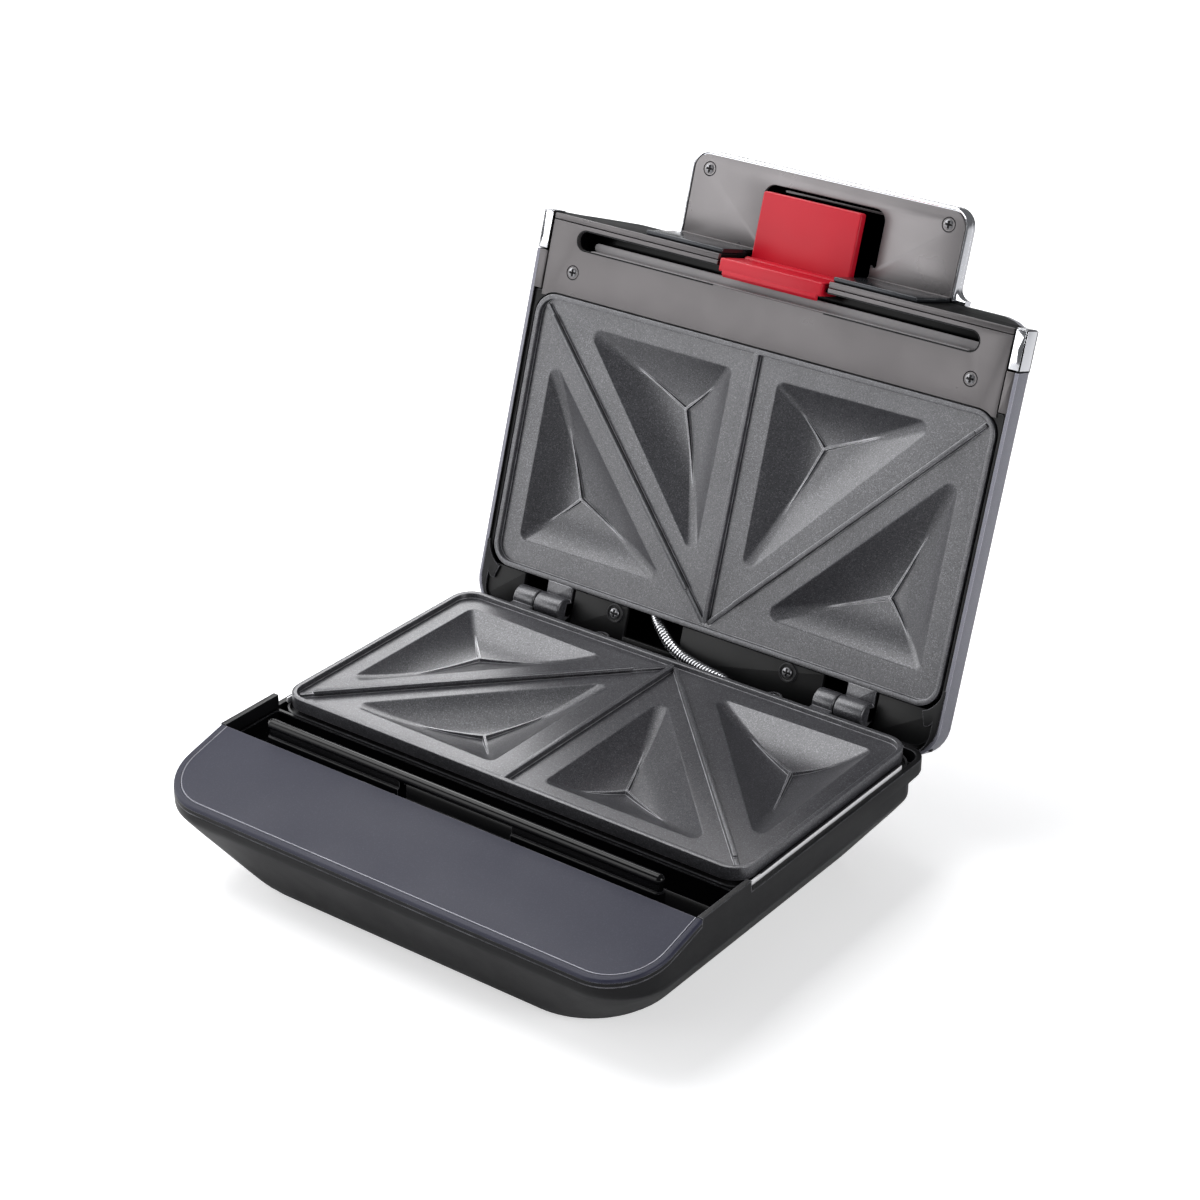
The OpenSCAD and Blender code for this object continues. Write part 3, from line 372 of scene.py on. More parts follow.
class Finish:
    """A material with one shader, and short ways to add the nodes of the recipe."""
    # The two edge limits are dot products of normals: the painted edge highlight is full at the lower one and gone
    # at the higher one.
    smudge_scale, wear_scale, bare_edge, worn_edge = 45.0, 160.0, 0.995, 0.75

    def __init__(self, name, base, rough, metal=0.0, coat=0.0, specular=0.5):
        self.material = bpy.data.materials.new(name)
        self.material.use_nodes = True
        self.tree = self.material.node_tree
        self.shader = self.tree.nodes["Principled BSDF"]
        self.shader.inputs["Metallic"].default_value = metal
        self.shader.inputs["Coat Weight"].default_value = coat
        self.shader.inputs["Coat Roughness"].default_value = 0.08
        self.shader.inputs["Specular IOR Level"].default_value = specular
        self.base, self.rough = base, rough
        self.place = self.node("ShaderNodeTexCoord").outputs["Object"]
        self.colour = None

    def node(self, kind, **settings):
        """New node with some of its settings."""
        made_node = self.tree.nodes.new(kind)
        for key, value in settings.items():
            setattr(made_node, key, value)
        return made_node

    def link(self, out, socket):
        """Link from an output to an input."""
        self.tree.links.new(out, socket)

    def noise(self, scale, detail=3.0, stretch=None):
        """Noise between 0 and 1 at a scale per metre, drawn out along an axis if stretch is given."""
        n = self.node("ShaderNodeTexNoise")
        n.inputs["Scale"].default_value = scale
        n.inputs["Detail"].default_value = detail
        where = self.place
        if stretch:
            m = self.node("ShaderNodeMapping")
            m.inputs["Scale"].default_value = stretch
            self.link(where, m.inputs["Vector"])
            where = m.outputs["Vector"]
        self.link(where, n.inputs["Vector"])
        return n.outputs["Fac"]

    def spread(self, value, low, high, start=0.3, end=0.7):
        """Value between start and end mapped to low and high."""
        m = self.node("ShaderNodeMapRange")
        for key, number in (("From Min", start), ("From Max", end), ("To Min", low), ("To Max", high)):
            m.inputs[key].default_value = number
        self.link(value, m.inputs["Value"])
        return m.outputs["Result"]

    def mix(self, share, a, b):
        """Colour a turned into colour b by a share; each is a colour or a node's output."""
        m = self.node("ShaderNodeMix", data_type="RGBA")
        self.link(share, m.inputs["Factor"])
        for value, socket in ((a, m.inputs[6]), (b, m.inputs[7])):
            if isinstance(value, tuple):
                socket.default_value = value
            else:
                self.link(value, socket)
        return m.outputs[2]

    def product(self, a, b):
        """Product of two values; each is a number or a node's output."""
        m = self.node("ShaderNodeMath", operation="MULTIPLY")
        for value, socket in ((a, m.inputs[0]), (b, m.inputs[1])):
            if isinstance(value, float):
                socket.default_value = value
            else:
                self.link(value, socket)
        return m.outputs[0]

    def drift(self, amount, scale=28.0):
        """Colour that drifts lighter and darker over the part."""
        v = self.spread(self.noise(scale), 1 - amount, 1 + amount)
        h = self.node("ShaderNodeHueSaturation")
        h.inputs["Color"].default_value = self.base
        self.link(v, h.inputs["Value"])
        self.colour = h.outputs["Color"]
        return self

    def flecks(self, scale, share, fleck):
        """Cells of a Voronoi pattern whose random value is in the top share take the fleck's colour."""
        v = self.node("ShaderNodeTexVoronoi")
        v.inputs["Scale"].default_value = scale
        self.link(self.place, v.inputs["Vector"])
        s = self.node("ShaderNodeSeparateColor")
        self.link(v.outputs["Color"], s.inputs["Color"])
        mask = self.spread(s.outputs["Red"], 0.0, 1.0, 1 - share, min(1.0, 1 - share * 0.4))
        self.colour = self.mix(mask, self.colour, fleck)
        return self

    def wear(self, amount, light, radius=0.0005):
        """Edges are painted lighter where the rounded normal of a Bevel node leaves the true normal, a painted
        highlight with a little wear; noise breaks them up."""
        b = self.node("ShaderNodeBevel", samples=4)
        b.inputs["Radius"].default_value = radius
        g = self.node("ShaderNodeNewGeometry")
        d = self.node("ShaderNodeVectorMath", operation="DOT_PRODUCT")
        self.link(b.outputs["Normal"], d.inputs[0])
        self.link(g.outputs["Normal"], d.inputs[1])
        edge = self.spread(d.outputs["Value"], amount, 0.0, self.worn_edge, self.bare_edge)
        broken = self.product(edge, self.spread(self.noise(self.wear_scale), 0.35, 1.0))
        self.colour = self.mix(broken, self.colour, light)
        return self

    def surface(self, smudge, bump, scale, detail=3.0, stretch=None, depth=0.00012):
        """Roughness that varies by the smudge, and a grain of that scale as bump; then the links."""
        low, high = max(0.02, self.rough - smudge), min(1.0, self.rough + smudge)
        self.link(self.spread(self.noise(self.smudge_scale, 4.0), low, high), self.shader.inputs["Roughness"])
        b = self.node("ShaderNodeBump")
        b.inputs["Strength"].default_value = bump
        b.inputs["Distance"].default_value = depth
        self.link(self.noise(scale, detail, stretch), b.inputs["Height"])
        self.link(b.outputs["Normal"], self.shader.inputs["Normal"])
        self.link(self.colour, self.shader.inputs["Base Color"])
        return self.material

# %% Add a finish to the list
finishes = {}


def finish(name, rgb, rough, drift, wear, surface, flecks=(), **shader):
    """Add a finish: drift, the edge step and surface hold the values of those steps, and flecks holds one row
    for each kind of fleck. The edge step paints highlights along the edges, with a little wear."""
    recipe = Finish(name, colour(*rgb), rough, **shader).drift(*drift)
    for scale, share, fleck in flecks:
        recipe.flecks(scale, share, colour(*fleck))
    amount, light, *radius = wear
    finishes[name] = recipe.wear(amount, colour(*light), *radius).surface(*surface)


print("middle grey in linear light:", round(colour(128, 128, 128)[0], 3))

# %% [markdown]
# ### Plastics
# The body is black plastic, and its mould was polished more or less: satin on the body and on the lid's
# inner frame, matte on the wall behind the bar, glossy in the well, and polished on the rail's rod. The
# latch is red with a soft sheen. The feet are matte rubber.

# %% Plastic finishes
# The edge colours below paint highlights along the edges, with a little wear.
grey_edge = (150, 150, 156)
finish("black_plastic", (13, 13, 15), 0.38, (0.08,), (0.95, grey_edge, 0.0006), (0.05, 0.1, 1500.0),
       specular=0.2)
finish("satin_black", (13, 13, 14), 0.45, (0.1,), (0.45, grey_edge, 0.0004), (0.04, 0.08, 900.0),
       specular=0.25)
finish("matte_black", (12, 12, 13), 0.55, (0.1,), (0.6, grey_edge, 0.0004), (0.04, 0.08, 1200.0),
       specular=0.06)
finish("gloss_black", (6, 6, 7), 0.2, (0.1,), (0.45, grey_edge, 0.0003), (0.04, 0.03, 700.0), specular=0.1)
finish("polished_black", (7, 7, 8), 0.13, (0.1,), (0.4, grey_edge, 0.0003), (0.03, 0.02, 500.0),
       specular=0.22)
finish("red_latch", (186, 20, 40), 0.36, (0.05,), (0.3, (245, 120, 130), 0.0008), (0.05, 0.05, 900.0),
       specular=0.25)
finish("rubber", (22, 22, 23), 0.75, (0.12,), (0.1, grey_edge), (0.08, 0.3, 2200.0))
finish("wire_cover", (170, 40, 30), 0.45, (0.08,), (0.1, grey_edge), (0.06, 0.1, 1500.0))
finish("lens", (180, 22, 18), 0.1, (0.05,), (0.1, (250, 150, 140)), (0.03, 0.04, 600.0), coat=0.5)
finish("ceramic", (215, 208, 192), 0.55, (0.06,), (0.12, (240, 236, 228)), (0.08, 0.15, 1200.0))
print("plastics:", len(finishes))

# %% [markdown]
# ### Lacquers and metals
# The deck is a lilac grey lacquer with very fine flecks. The plates have a dark non-stick coating with a
# fine grain of light and dark flecks. Bar and handle carry a warm gunmetal lacquer with a faint brushed
# grain, the handle's plate a lighter copy of it that paints the extra light the plate gets, its leg a
# smoked one, and the cover is silver. Chrome, screws and springs are bare metal.

# %% Lacquered and metal finishes
# The light edge colours of these finishes paint highlights along the edges, with a little wear.
brushed = (0.05, 1, 1)
finish("grey_deck", (45, 46, 60), 0.4, (0.03, 14.0), (0.45, (180, 180, 190), 0.0003), (0.04, 0.06, 2400.0),
       flecks=[(3600.0, 0.18, (53, 54, 69))], specular=0.2)
finish("non_stick", (67, 67, 71), 0.32, (0.05,), (1.0, (225, 225, 230), 0.0006),
       (0.03, 0.35, 3200.0, 2.0, None, 0.00008),
       flecks=[(3000.0, 0.22, (100, 100, 105)), (3400.0, 0.2, (38, 38, 41))], metal=0.33, specular=1.0)
finish("gunmetal", (90, 87, 88), 0.32, (0.05, 12.0), (0.35, (205, 204, 204)),
       (0.05, 0.1, 900.0, 3.0, brushed), metal=0.55)
# Painted light: a lighter copy of gunmetal for the handle's face, which looks brighter than the bar.
finish("light_gunmetal", (118, 115, 116), 0.3, (0.05, 12.0), (0.35, (205, 204, 204)),
       (0.05, 0.1, 900.0, 3.0, brushed), metal=0.6)
finish("smoked", (46, 48, 52), 0.24, (0.05,), (0.45, (205, 206, 210), 0.0003), (0.04, 0.06, 900.0),
       metal=0.5)
finish("dark_sheet", (42, 42, 44), 0.45, (0.08,), (0.25, (150, 150, 154)), (0.06, 0.2, 1400.0),
       flecks=[(1800.0, 0.12, (70, 70, 74))], metal=0.2)
finish("liner", (150, 147, 149), 0.5, (0.06,), (0.2, (190, 188, 189)), (0.05, 0.08, 1200.0))
finish("silver_cover", (112, 112, 122), 0.36, (0.04, 12.0), (0.6, (225, 225, 232), 0.0004),
       (0.015, 0.06, 2200.0), flecks=[(3600.0, 0.15, (124, 124, 134))], metal=0.4)
finish("chrome", (226, 227, 231), 0.07, (0.02,), (0.15, (250, 250, 250)), (0.03, 0.02, 500.0), metal=1.0)
finish("steel", (196, 197, 200), 0.24, (0.06,), (0.2, (240, 240, 242)), (0.06, 0.1, 1500.0), metal=1.0)
finish("screw", (132, 132, 135), 0.32, (0.08, 200.0), (0.3, (235, 235, 238), 0.0002), (0.07, 0.1, 2600.0),
       metal=0.9)
finish("heater", (122, 118, 112), 0.55, (0.15, 60.0), (0.12, (170, 165, 160)), (0.08, 0.25, 1800.0),
       metal=0.8)
# Painted reflection: the bright metal reflectors get a near-white matte colour that stands for the light they
# reflect.
finish("reflector", (240, 240, 242), 0.4, (0.04,), (0.2, (250, 250, 250)), (0.07, 0.08, 600.0))
print("finishes:", sorted(finishes))

# %% [markdown]
# ## The grill plates
# Each plate is one casting: a rim with a skirt, a land just below the rim, four triangular pockets, three
# blades that cut the bread, and a small three-legged rib in each pocket. A pocket is an upside-down pyramid
# whose three walls meet at the incentre of its triangle. Scaling the edge towards the incentre moves it
# inwards by the same distance on all sides, so one stack of scaled outlines makes all three walls. Pyramids
# could also be cut out of a block, but their upper edges would then stay hard.

# %% Heights of a plate, in mm below its rim
land_z, pocket_deep, pocket_soft, rim_w = -2.4, 8.5, 0.3, 2.2
plate_r, blade_w, blade_top, arc_points = 10.0, 2.0, -0.05, 9
plate_under, pocket_wall, tip_r = 3.2, 2.8, 0.3


def incentre(corners):
    """Middle of the inscribed circle, the corners weighted by the opposite sides, and its radius: twice the
    area over the sum of the sides."""
    a, b, c = corners
    sides = np.linalg.norm([b - c, a - c, a - b], axis=1)
    area2 = abs((b[0] - a[0]) * (c[1] - a[1]) - (b[1] - a[1]) * (c[0] - a[0]))
    return (sides[:, None] * corners).sum(0) / sides.sum(), area2 / sides.sum()


def sink(s, reach):
    """Depth at distance s from the pocket's edge: the wall falls steeply, then levels out as the power 2 of
    what is left of the way, and the edge itself is softened."""
    soft = (s + np.sqrt(s * s + pocket_soft ** 2)) / 2
    return pocket_deep * (1 - (1 - np.minimum(soft / reach, 1)) ** 2)


def field(border, corners, corner_r=3.5):
    """Land and pocket of one triangle, with the underside that follows the pocket."""
    corners = np.array(corners, float)
    centre, reach = incentre(corners)
    edge = rounded(corners, corner_r, arc_points)
    top = np.array([-0.9, -0.5, -0.2, 0, 0.2, 0.5, 1, 2, 3.5, 6, 9, 13, 17, 20, 22.3])
    top = np.append(top[top < reach - 1], reach - 0.3)
    low = np.array([reach - 0.3, reach * 0.6, reach * 0.3, 0.0])
    scaled = lambda s: centre + (edge - centre) * (1 - s[:, None, None] / reach)
    at = lambda xy, z: np.concatenate([xy, np.broadcast_to(z, xy.shape[:-1])[..., None]], -1)
    rows = [at(scaled(low), (land_z - pocket_wall - sink(low, reach))[:, None])]
    rows += [at(border, land_z - plate_under)[None], at(border, land_z)[None]]
    rows += [at(scaled(top), (land_z - sink(top, reach))[:, None])]
    return stack(np.concatenate(rows)), centre

# %% Ribs and blades


def rib(centre, corner, far=0.56, height=1.5):
    """Thin rib from the pocket's middle along a valley. The floor below it rises with the square of the way
    to the corner; the rib has a narrow flat top, and its height and width shrink along the way."""
    t = np.array([0, 0.2, 0.4, 0.6, 0.8, 1.0])
    along = centre + (np.array(corner) - centre) * far * t[:, None]
    side = np.array([centre[1] - corner[1], corner[0] - centre[0]])
    side = side / np.linalg.norm(side)
    floor = land_z - pocket_deep * (1 - (far * t) ** 2)
    crest = floor + height * (1 - t) ** 0.7 + 0.12
    foot, top = 0.3 + 0.75 * (1 - t), 0.1 + 0.38 * (1 - t)
    across = np.stack([-foot, -top, top, foot])
    level = np.stack([floor - 0.7, crest, crest, floor - 0.7])
    xy = along + across[..., None] * side
    return stack(np.concatenate([xy, level[..., None]], -1).transpose(1, 0, 2)[:, ::-1])


def bar_between(a, b, width, z0, z1, bevel=0.3):
    """Upright bar between two points of the plan, with softened ends."""
    a, b = np.array(a, float), np.array(b, float)
    u = (b - a) / np.linalg.norm(b - a)
    n = np.array([-u[1], u[0]]) * width / 2
    return slab(rounded([a - n, b - n, b + n, a + n], width * 0.35, 4), z0, z1, bevel, low_bevel=0.05)

# %% Whole plate


def grill(hw, depth, outer_pocket, inner_pocket, skirt_z=-8.0):
    """Cooking side up, rim at height 0. The land's borders run under the rim and the blades, so there is no
    gap; the front corner of the border follows the arc of the rim."""
    y0, y1, r = -depth / 2, depth / 2, plate_r - rim_w + 0.5
    front, rear = (hw - plate_r, y0 + plate_r), (hw - plate_r, y1 - plate_r)
    tip, foot = (tip_r, y1 - rim_w + 0.2), (tip_r, y0 + rim_w - 0.2)
    turn = lambda centre, radius, start, end: arc(centre, radius, start, end, arc_points)
    outer_border = [turn(front, r, -46, 0), turn(rear, r, 0, 90), turn(tip, tip_r, 90, 226)]
    inner_border = [turn(foot, tip_r, 180, 270), turn(front, r, -90, -46), turn(tip, tip_r, 46, 180)]
    inner_r = plate_r - rim_w
    rim_in = plan(hw - rim_w, y0 + rim_w, y1 - rim_w, inner_r, inner_r, 9)
    parts = [ring(plan(hw, y0, y1, plate_r, plate_r, 9), rim_in, skirt_z, 0, 0.35)]
    for border, corners in ((outer_border, outer_pocket), (inner_border, inner_pocket)):
        shape, centre = field(np.concatenate(border), corners)
        legs = [rib(centre, c) for c in corners]
        parts.append(both(join(shape, *legs)))
    start, end = np.array([hw - 5.2, y0 + 5.2]), np.array([1.2, y1 - 4.0])
    way = end - start
    blade = lambda a, b, top: bar_between(a, b, blade_w, land_z - 0.6, top)
    parts.append(both(blade(start, end, -1.0)))
    parts.append(both(blade(start + way * 0.035, start + way * 0.90, blade_top)))
    parts.append(blade([0, y0 + 1.5], [0, y1 - 4], blade_top))
    return join(*parts)


print("pockets reach down to", round(land_z - pocket_deep, 2), "mm from the rim")

# %% [markdown]
# The plates carry the hinge: the lower one has two knuckles that hold the pins, and the upper one has two
# that turn on them, each joined to the skirt by a flat arm. Knuckles and arms run into the casting, so
# nothing has to be cut, and each keeps its soft edges.

# %% Knuckles and both plates
knuckle_r, lower_knuckles, upper_knuckles = 5.3, ((-94, -83), (63, 73)), ((-82.6, -69), (73.4, 87))
plate_hw, lower_deep, upper_deep, upper_lift = 115, 121, 123, 0.3
lower_pockets = [(104, -35), (103.5, 49.6), (27, 48)], [(13, -49), (90, -48), (12, 34)]
upper_pockets = [(103, -34.5), (103.3, 48.5), (25, 47.5)], [(11.5, -50.5), (88, -51), (11.8, 34.2)]


def knuckles(spans, y0, z0, z1):
    """Round knuckle and its arm for each span in x."""
    parts = []
    for x0, x1 in spans:
        parts.append(rod(x0, x1, hinge_y, hinge_z, knuckle_r, 0.7))
        parts.append(box((x0, y0, z0), (x1, hinge_y, z1), 0.6, 0.6))
    return parts


lower = join(grill(plate_hw, lower_deep, *lower_pockets, -5.8), *knuckles(lower_knuckles, 59.5, -6.3, -2.4))
piece("lower_grill", lower, "base", "non_stick", ["lower_plate"])
points, faces = grill(plate_hw, upper_deep, *upper_pockets)
upper = (points * (1, 1, -1) + (0, 0, upper_lift), faces)
ribs = [box((x0, hinge_y - 3.6, hinge_z), (x1, hinge_y + 3.6, 6.5), 0.6, 0.6) for x0, x1 in upper_knuckles]
upper = join(upper, *knuckles(upper_knuckles, 60.5, 0.8, 6.5), *ribs)
piece("upper_grill", upper, "lid", "non_stick", ["upper_plate"])
# The side strips are the reflector's bright metal rim; their near-white matte finish paints its reflection.
piece("side_strips", both(box((116.0, -56, -7.2), (116.8, 50, -4.9), 0.15)), "base", "reflector")
print("pocket reach:", round(incentre(np.array(lower_pockets[0], float))[1], 2), "mm")

# %% [markdown]
# ## The base
# The plastic base is one shell. Its outline in plan changes with height: small and round at the feet, full
# size at the band, and a step further back at the rear flange. The top edge is low under the sloped deck,
# high beside the well and lower again beside the plate. The shell is a closed profile of rows: up the
# outside, over the rounded top edge, down the inside and back along the underside. Openings could be cut
# with booleans, but those leave slivers that shade badly. Here they are steps in the height of the top
# edge.

# %% Measures of the base
base_hw, base_front, base_rear, wall = 119.5, -134.5, 67.5, 2.5
front_r, rear_r = 24, 9
body_z, deck_back, wall_top, step_top, step_at = -49.0, -92.0, -1.5, -6.5, -60.5
rear_marks = np.array([
    108.0, 88.4, 87.6, 62.4, 61.6, 31.0, 30.0, 18.0, 17.0, -67.6, -68.4, -94.6, -95.4, -108.0])
side_marks = np.array([-93.6, -92.2, -91.9, -75.0, -60.65, -60.35, -30.0, 0.0, 30.0])


def deck_z(y):
    """Height of the sloped deck: it falls by 14 degrees to the front."""
    return -2 + (y - deck_back) * math.tan(math.radians(14))


def base_outline(hw, y0, y1, r0, r1):
    """Outline with marks along its sides and its rear, so that all outlines match point by point. Only the
    small outline of the underside squeezes the marks into its straight part."""
    y = np.interp(side_marks, [-93.6, 30], [max(-93.6, y0 + r0), min(30, y1 - r1)])
    x = rear_marks * (hw - r1) / (base_hw - rear_r)
    return np.concatenate([
        arc((-hw + r0, y0 + r0), r0, 180, 270, 15), arc((hw - r0, y0 + r0), r0, 270, 360, 15),
        np.stack([np.full(len(y), hw), y], -1), arc((hw - r1, y1 - r1), r1, 0, 90, 9),
        np.stack([x, np.full(len(x), y1)], -1), arc((-hw + r1, y1 - r1), r1, 90, 180, 9),
        np.stack([np.full(len(y), -hw), y[::-1]], -1)])

# %% Outlines of the base and its stepped edge
foot_line = base_outline(98, -119, 51, 34, 20)
band_line = base_outline(base_hw, base_front, 58, front_r, rear_r)
flange_line = base_outline(base_hw, base_front, base_rear, front_r, rear_r)
marks_y, flange_x = band_line[:, 1], flange_line[:, 0]
at_rear = flange_line[:, 1] > base_rear - 0.1
knuckle_gap = at_rear & (between(flange_x, 62, 88) | between(flange_x, -95, -68))
top_edge = np.where(marks_y < deck_back, deck_z(marks_y) - 3, np.where(marks_y < step_at, wall_top, step_top))
top_edge = np.where(knuckle_gap, -8.1, top_edge)
inner_wall = np.where(at_rear & between(flange_x, 17.5, 30.5), 0.8, wall)
print("base outline:", len(band_line), "points")


def base_row(z, morph, away):
    """One row of the shell at a height: the outline is the foot's at a morph of 0, the band's at 1 and the
    flange's at 2, blended between them, and is then moved inwards."""
    low, high = (foot_line, band_line) if morph <= 1 else (band_line, flange_line)
    line = low + (high - low) * (morph if morph <= 1 else morph - 1)
    return raised(inset(line, away), z)

# %% Profile of the base shell
under = [(body_z, 0.0, 3.2), (-48.6, 0.014, 1.2), (-47.6, 0.05, 0.3), (-46.0, 0.10, 0.0)]
slope = [(z, (z - body_z) / 29, 0.0) for z in (-42, -36, -30, -25)]
slope += [(-22.0, 0.925, 0.0), (-20.6, 0.968, 0.0), (-19.4, 0.992, 0.0), (-18.0, 1.0, 0.0)]
flange = [(-13.3, 1.0, 0.0), (-13.0, 1.25, 0.0), (-12.7, 1.9, 0.0), (-12.2, 2.0, 0.0)]
rows = [base_row(z, m, a) for z, m, a in under + slope + flange]
soft_d, soft_h = quarter(0.25)
rows += [raised(inset(flange_line, d), top_edge - h) for d, h in zip(soft_d[::-1], soft_h[::-1])]
rows += [raised(inset(flange_line, inner_wall - d), top_edge - h) for d, h in zip(soft_d * 0.6, soft_h * 0.6)]
rows += [base_row(-12.4, 2, inner_wall), base_row(-13.0, 1, inner_wall), base_row(-20.0, 1, inner_wall)]
rows += [base_row(-46.4, 0.09, wall), base_row(-46.4, 0, 9.0), base_row(body_z, 0, 9.0)]
rows = np.array(rows)
rows[..., 2] = np.minimum(rows[..., 2], top_edge)
housing = grid(rows, wrap_u=True, wrap_v=True)
shelf_spans = ((-108, -95.4), (-67.6, 17.6), (30.4, 61.6), (88.4, 108))
shelf = [box((x0, 61.9, -8.5), (x1, 66.0, step_top), 0.3) for x0, x1 in shelf_spans]
rear_screw_x, base_screw_y = (-44.8, 44.8), 64.9
boss = [(0.8, -7.1), (4.2, -7.1), (4.2, -4.4), (3.9, -4.1), (3.4, -4.1), (2.9, -5.0), (0.8, -5.0)]
bosses = at_all(turned(boss), [(x, base_screw_y, 0) for x in rear_screw_x])
floor_lip = box((-100, 54, -13), (100, 63.5, -10.6), 0.3)
piece("housing", join(housing, *shelf, bosses, floor_lip), "base", "black_plastic", ["base_housing"])

# %% [markdown]
# The deck is a flat lacquered insert in a rim of the same grey, on a black tray. Between them are a thin
# groove and a light strip that paints the highlight on the insert's edge. All are drawn flat and then
# sheared down by the slope of the deck, so their back edges stay straight. A tilted copy of a flat part would
# be as easy, but its back edge would lean away from the base.

# %% Deck rim, deck insert


def deck_line(d):
    """Outline of the deck inset by d at the front and the sides, with its back edge left where it is."""
    r, x, y = front_r - d, base_hw - front_r, base_front + front_r
    back_edge = [[base_hw - d, deck_back], [-base_hw + d, deck_back]]
    return np.concatenate([arc((-x, y), r, 180, 270, 15), arc((x, y), r, 270, 360, 15), back_edge])


def sloped(shape):
    """Flat shape sheared down to the slope of the deck."""
    points = shape[0].copy()
    points[:, 2] += deck_z(points[:, 1])
    return points, shape[1]


def deck_ring(profile):
    """Closed profile of (inset, height) carried round the front and the sides."""
    return sloped(strip(lambda d: np.roll(deck_line(d), 1, 0), profile))


rim = [(0.05, -1.3), (0.05, -0.8), (0.2, -0.35), (0.5, -0.08), (0.9, 0), (2.55, 0), (2.7, -0.12), (2.7, -1.3)]
tray = [(0, -3), (0, -1.25), (0.15, -1.1), (3.9, -1.1), (3.9, -3)]
# Painted highlight: a thin silver strip stands for the light caught by the insert's edge.
bright = [(2.95, -1.2), (2.95, -0.1), (3.03, -0.02), (3.3, -0.02), (3.38, -0.1), (3.38, -1.2)]
piece("deck_rim", deck_ring(rim), "base", "grey_deck", ["front_deck_panel"])
piece("deck_tray", deck_ring(tray), "base", "black_plastic")
piece("deck_line", deck_ring(bright), "base", "silver_cover")
insert = [(3.6, -2.6), (3.4, -0.5), (3.4, -0.2), (3.5, -0.05), (3.8, 0)]
insert_rows = np.array([raised(deck_line(d), z) for d, z in insert])
piece("deck_insert", sloped(stack(insert_rows)), "base", "grey_deck")

# %% [markdown]
# Behind the deck lies the well, a polished tub that catches drips, and in it stands the rail under which
# the latch snaps: a round rod on a thin web that stands on a thicker foot. The web is interrupted in the
# middle, so that the latch can reach under the rod, and a low sill joins its halves. Tub and web are stacks
# of outlines: a tub needs no cut when the same stack climbs down its inside.

# %% Well and rail
well_out, well_in = plan(116.7, -93.8, -61.7, 1.5, 1.5), plan(114.9, -92.0, -63.5, 1.5, 1.5)
tub = [
    (well_out, -19.8, 0.4), (well_out, -19.4, 0), (well_out, -7.3, 0), (well_out, -7.0, 0.3),
    (well_in, -7.0, -0.3), (well_in, -7.3, 0), (well_in, -16.4, 0), (well_in, -17.5, 0.45),
    (well_in, -18.0, 1.4)]
well = stack(np.array([raised(inset(outline, d), z) for outline, z, d in tub]))
piece("well", well, "base", "gloss_black", ["front_well"])

rail_y, rod_z, rod_r, rail_end, notch = -86.2, 3.3, 2.2, 98.0, 28.0


def rail_row(z, half, end):
    """Outline of the right half of the rail at one height: square at the notch, round at the end."""
    square = [[notch, rail_y + half], [notch, rail_y - half]]
    return raised(np.concatenate([square, arc([end - half, rail_y], half, -90, 90, 11)]), z)


web_rows = [(-18, 2.7, 0), (-2.4, 2.7, 0), (-1.8, 2.5, 0.1), (-1.5, 2.1, 0.4), (-1.4, 1.7, 0.6),
            (-1.1, 1.6, 0.6), (rod_z, 1.6, 0.6)]
web = stack(np.array([rail_row(z, half, rail_end - short) for z, half, short in web_rows]))
t = np.linspace(0, math.pi / 2, 8)
half_ball = [(rod_r * math.sin(a) + 0.01, rod_r * (1 - math.cos(a))) for a in t]
capsule = [(r, -rail_end + h) for r, h in half_ball] + [(r, rail_end - h) for r, h in half_ball[::-1]]
sill = box((-notch - 1, rail_y - 2.7, -18), (notch + 1, rail_y + 2.7, -8), 0.4)
piece("rail_web", join(both(web), sill), "base", "gloss_black", ["catch_rail"])
piece("rail_rod", turned(capsule, (0, rail_y, rod_z), "x", 32), "base", "gloss_black")

# %% [markdown]
# Feet, the gland for the cord and the base's screws are turned parts. A screw head is a low dome with a
# cross sunk into it: on a polar grid, the height is the dome minus a recess wherever a point lies inside
# either arm of the cross. A boolean cut would give the same cross, but would have to be cleaned for every
# screw.

# %% Screw head


def screw_head(radius=2.3, height=1.25, shank=1.45, length=6.0):
    """Head up, seat at the origin. Dome: h (1 - 0.35 (r/R)^2). The cross is about 0.9 mm wide, and its depth
    fades out towards the ends of the arms."""
    r = np.array([0.02, 0.25, 0.42, 0.5, 0.75, 1.0, 1.25, 1.5, 1.7, 1.85, 2.1, 2.5, 2.85, 3.0, 3.1])
    r *= radius / r[-1]
    t = np.linspace(0, 2 * math.pi, 64, endpoint=False)
    x, y = r[:, None] * np.cos(t), r[:, None] * np.sin(t)
    dome = height * (1 - 0.35 * (r / radius) ** 2) - 0.3 * np.clip((r / radius - 0.9) / 0.1, 0, 1) ** 2
    thin, long = np.minimum(abs(x), abs(y)), np.maximum(abs(x), abs(y))
    sunk = np.clip((0.5 - thin) / 0.12, 0, 1) * np.clip((1.75 - long) / 0.25, 0, 1)
    top = np.stack([x, y, np.broadcast_to(dome[:, None], x.shape) - 0.85 * sunk], -1)[::-1]
    side = np.stack([np.cos(t), np.sin(t), np.zeros(64)], -1)
    low = [side * (shank, shank, 0) + (0, 0, -length), side * (shank, shank, 0), side * (radius, radius, 0)]
    return stack(np.concatenate([np.array(low), top]))

# %% Screws, feet and gland
head = screw_head()
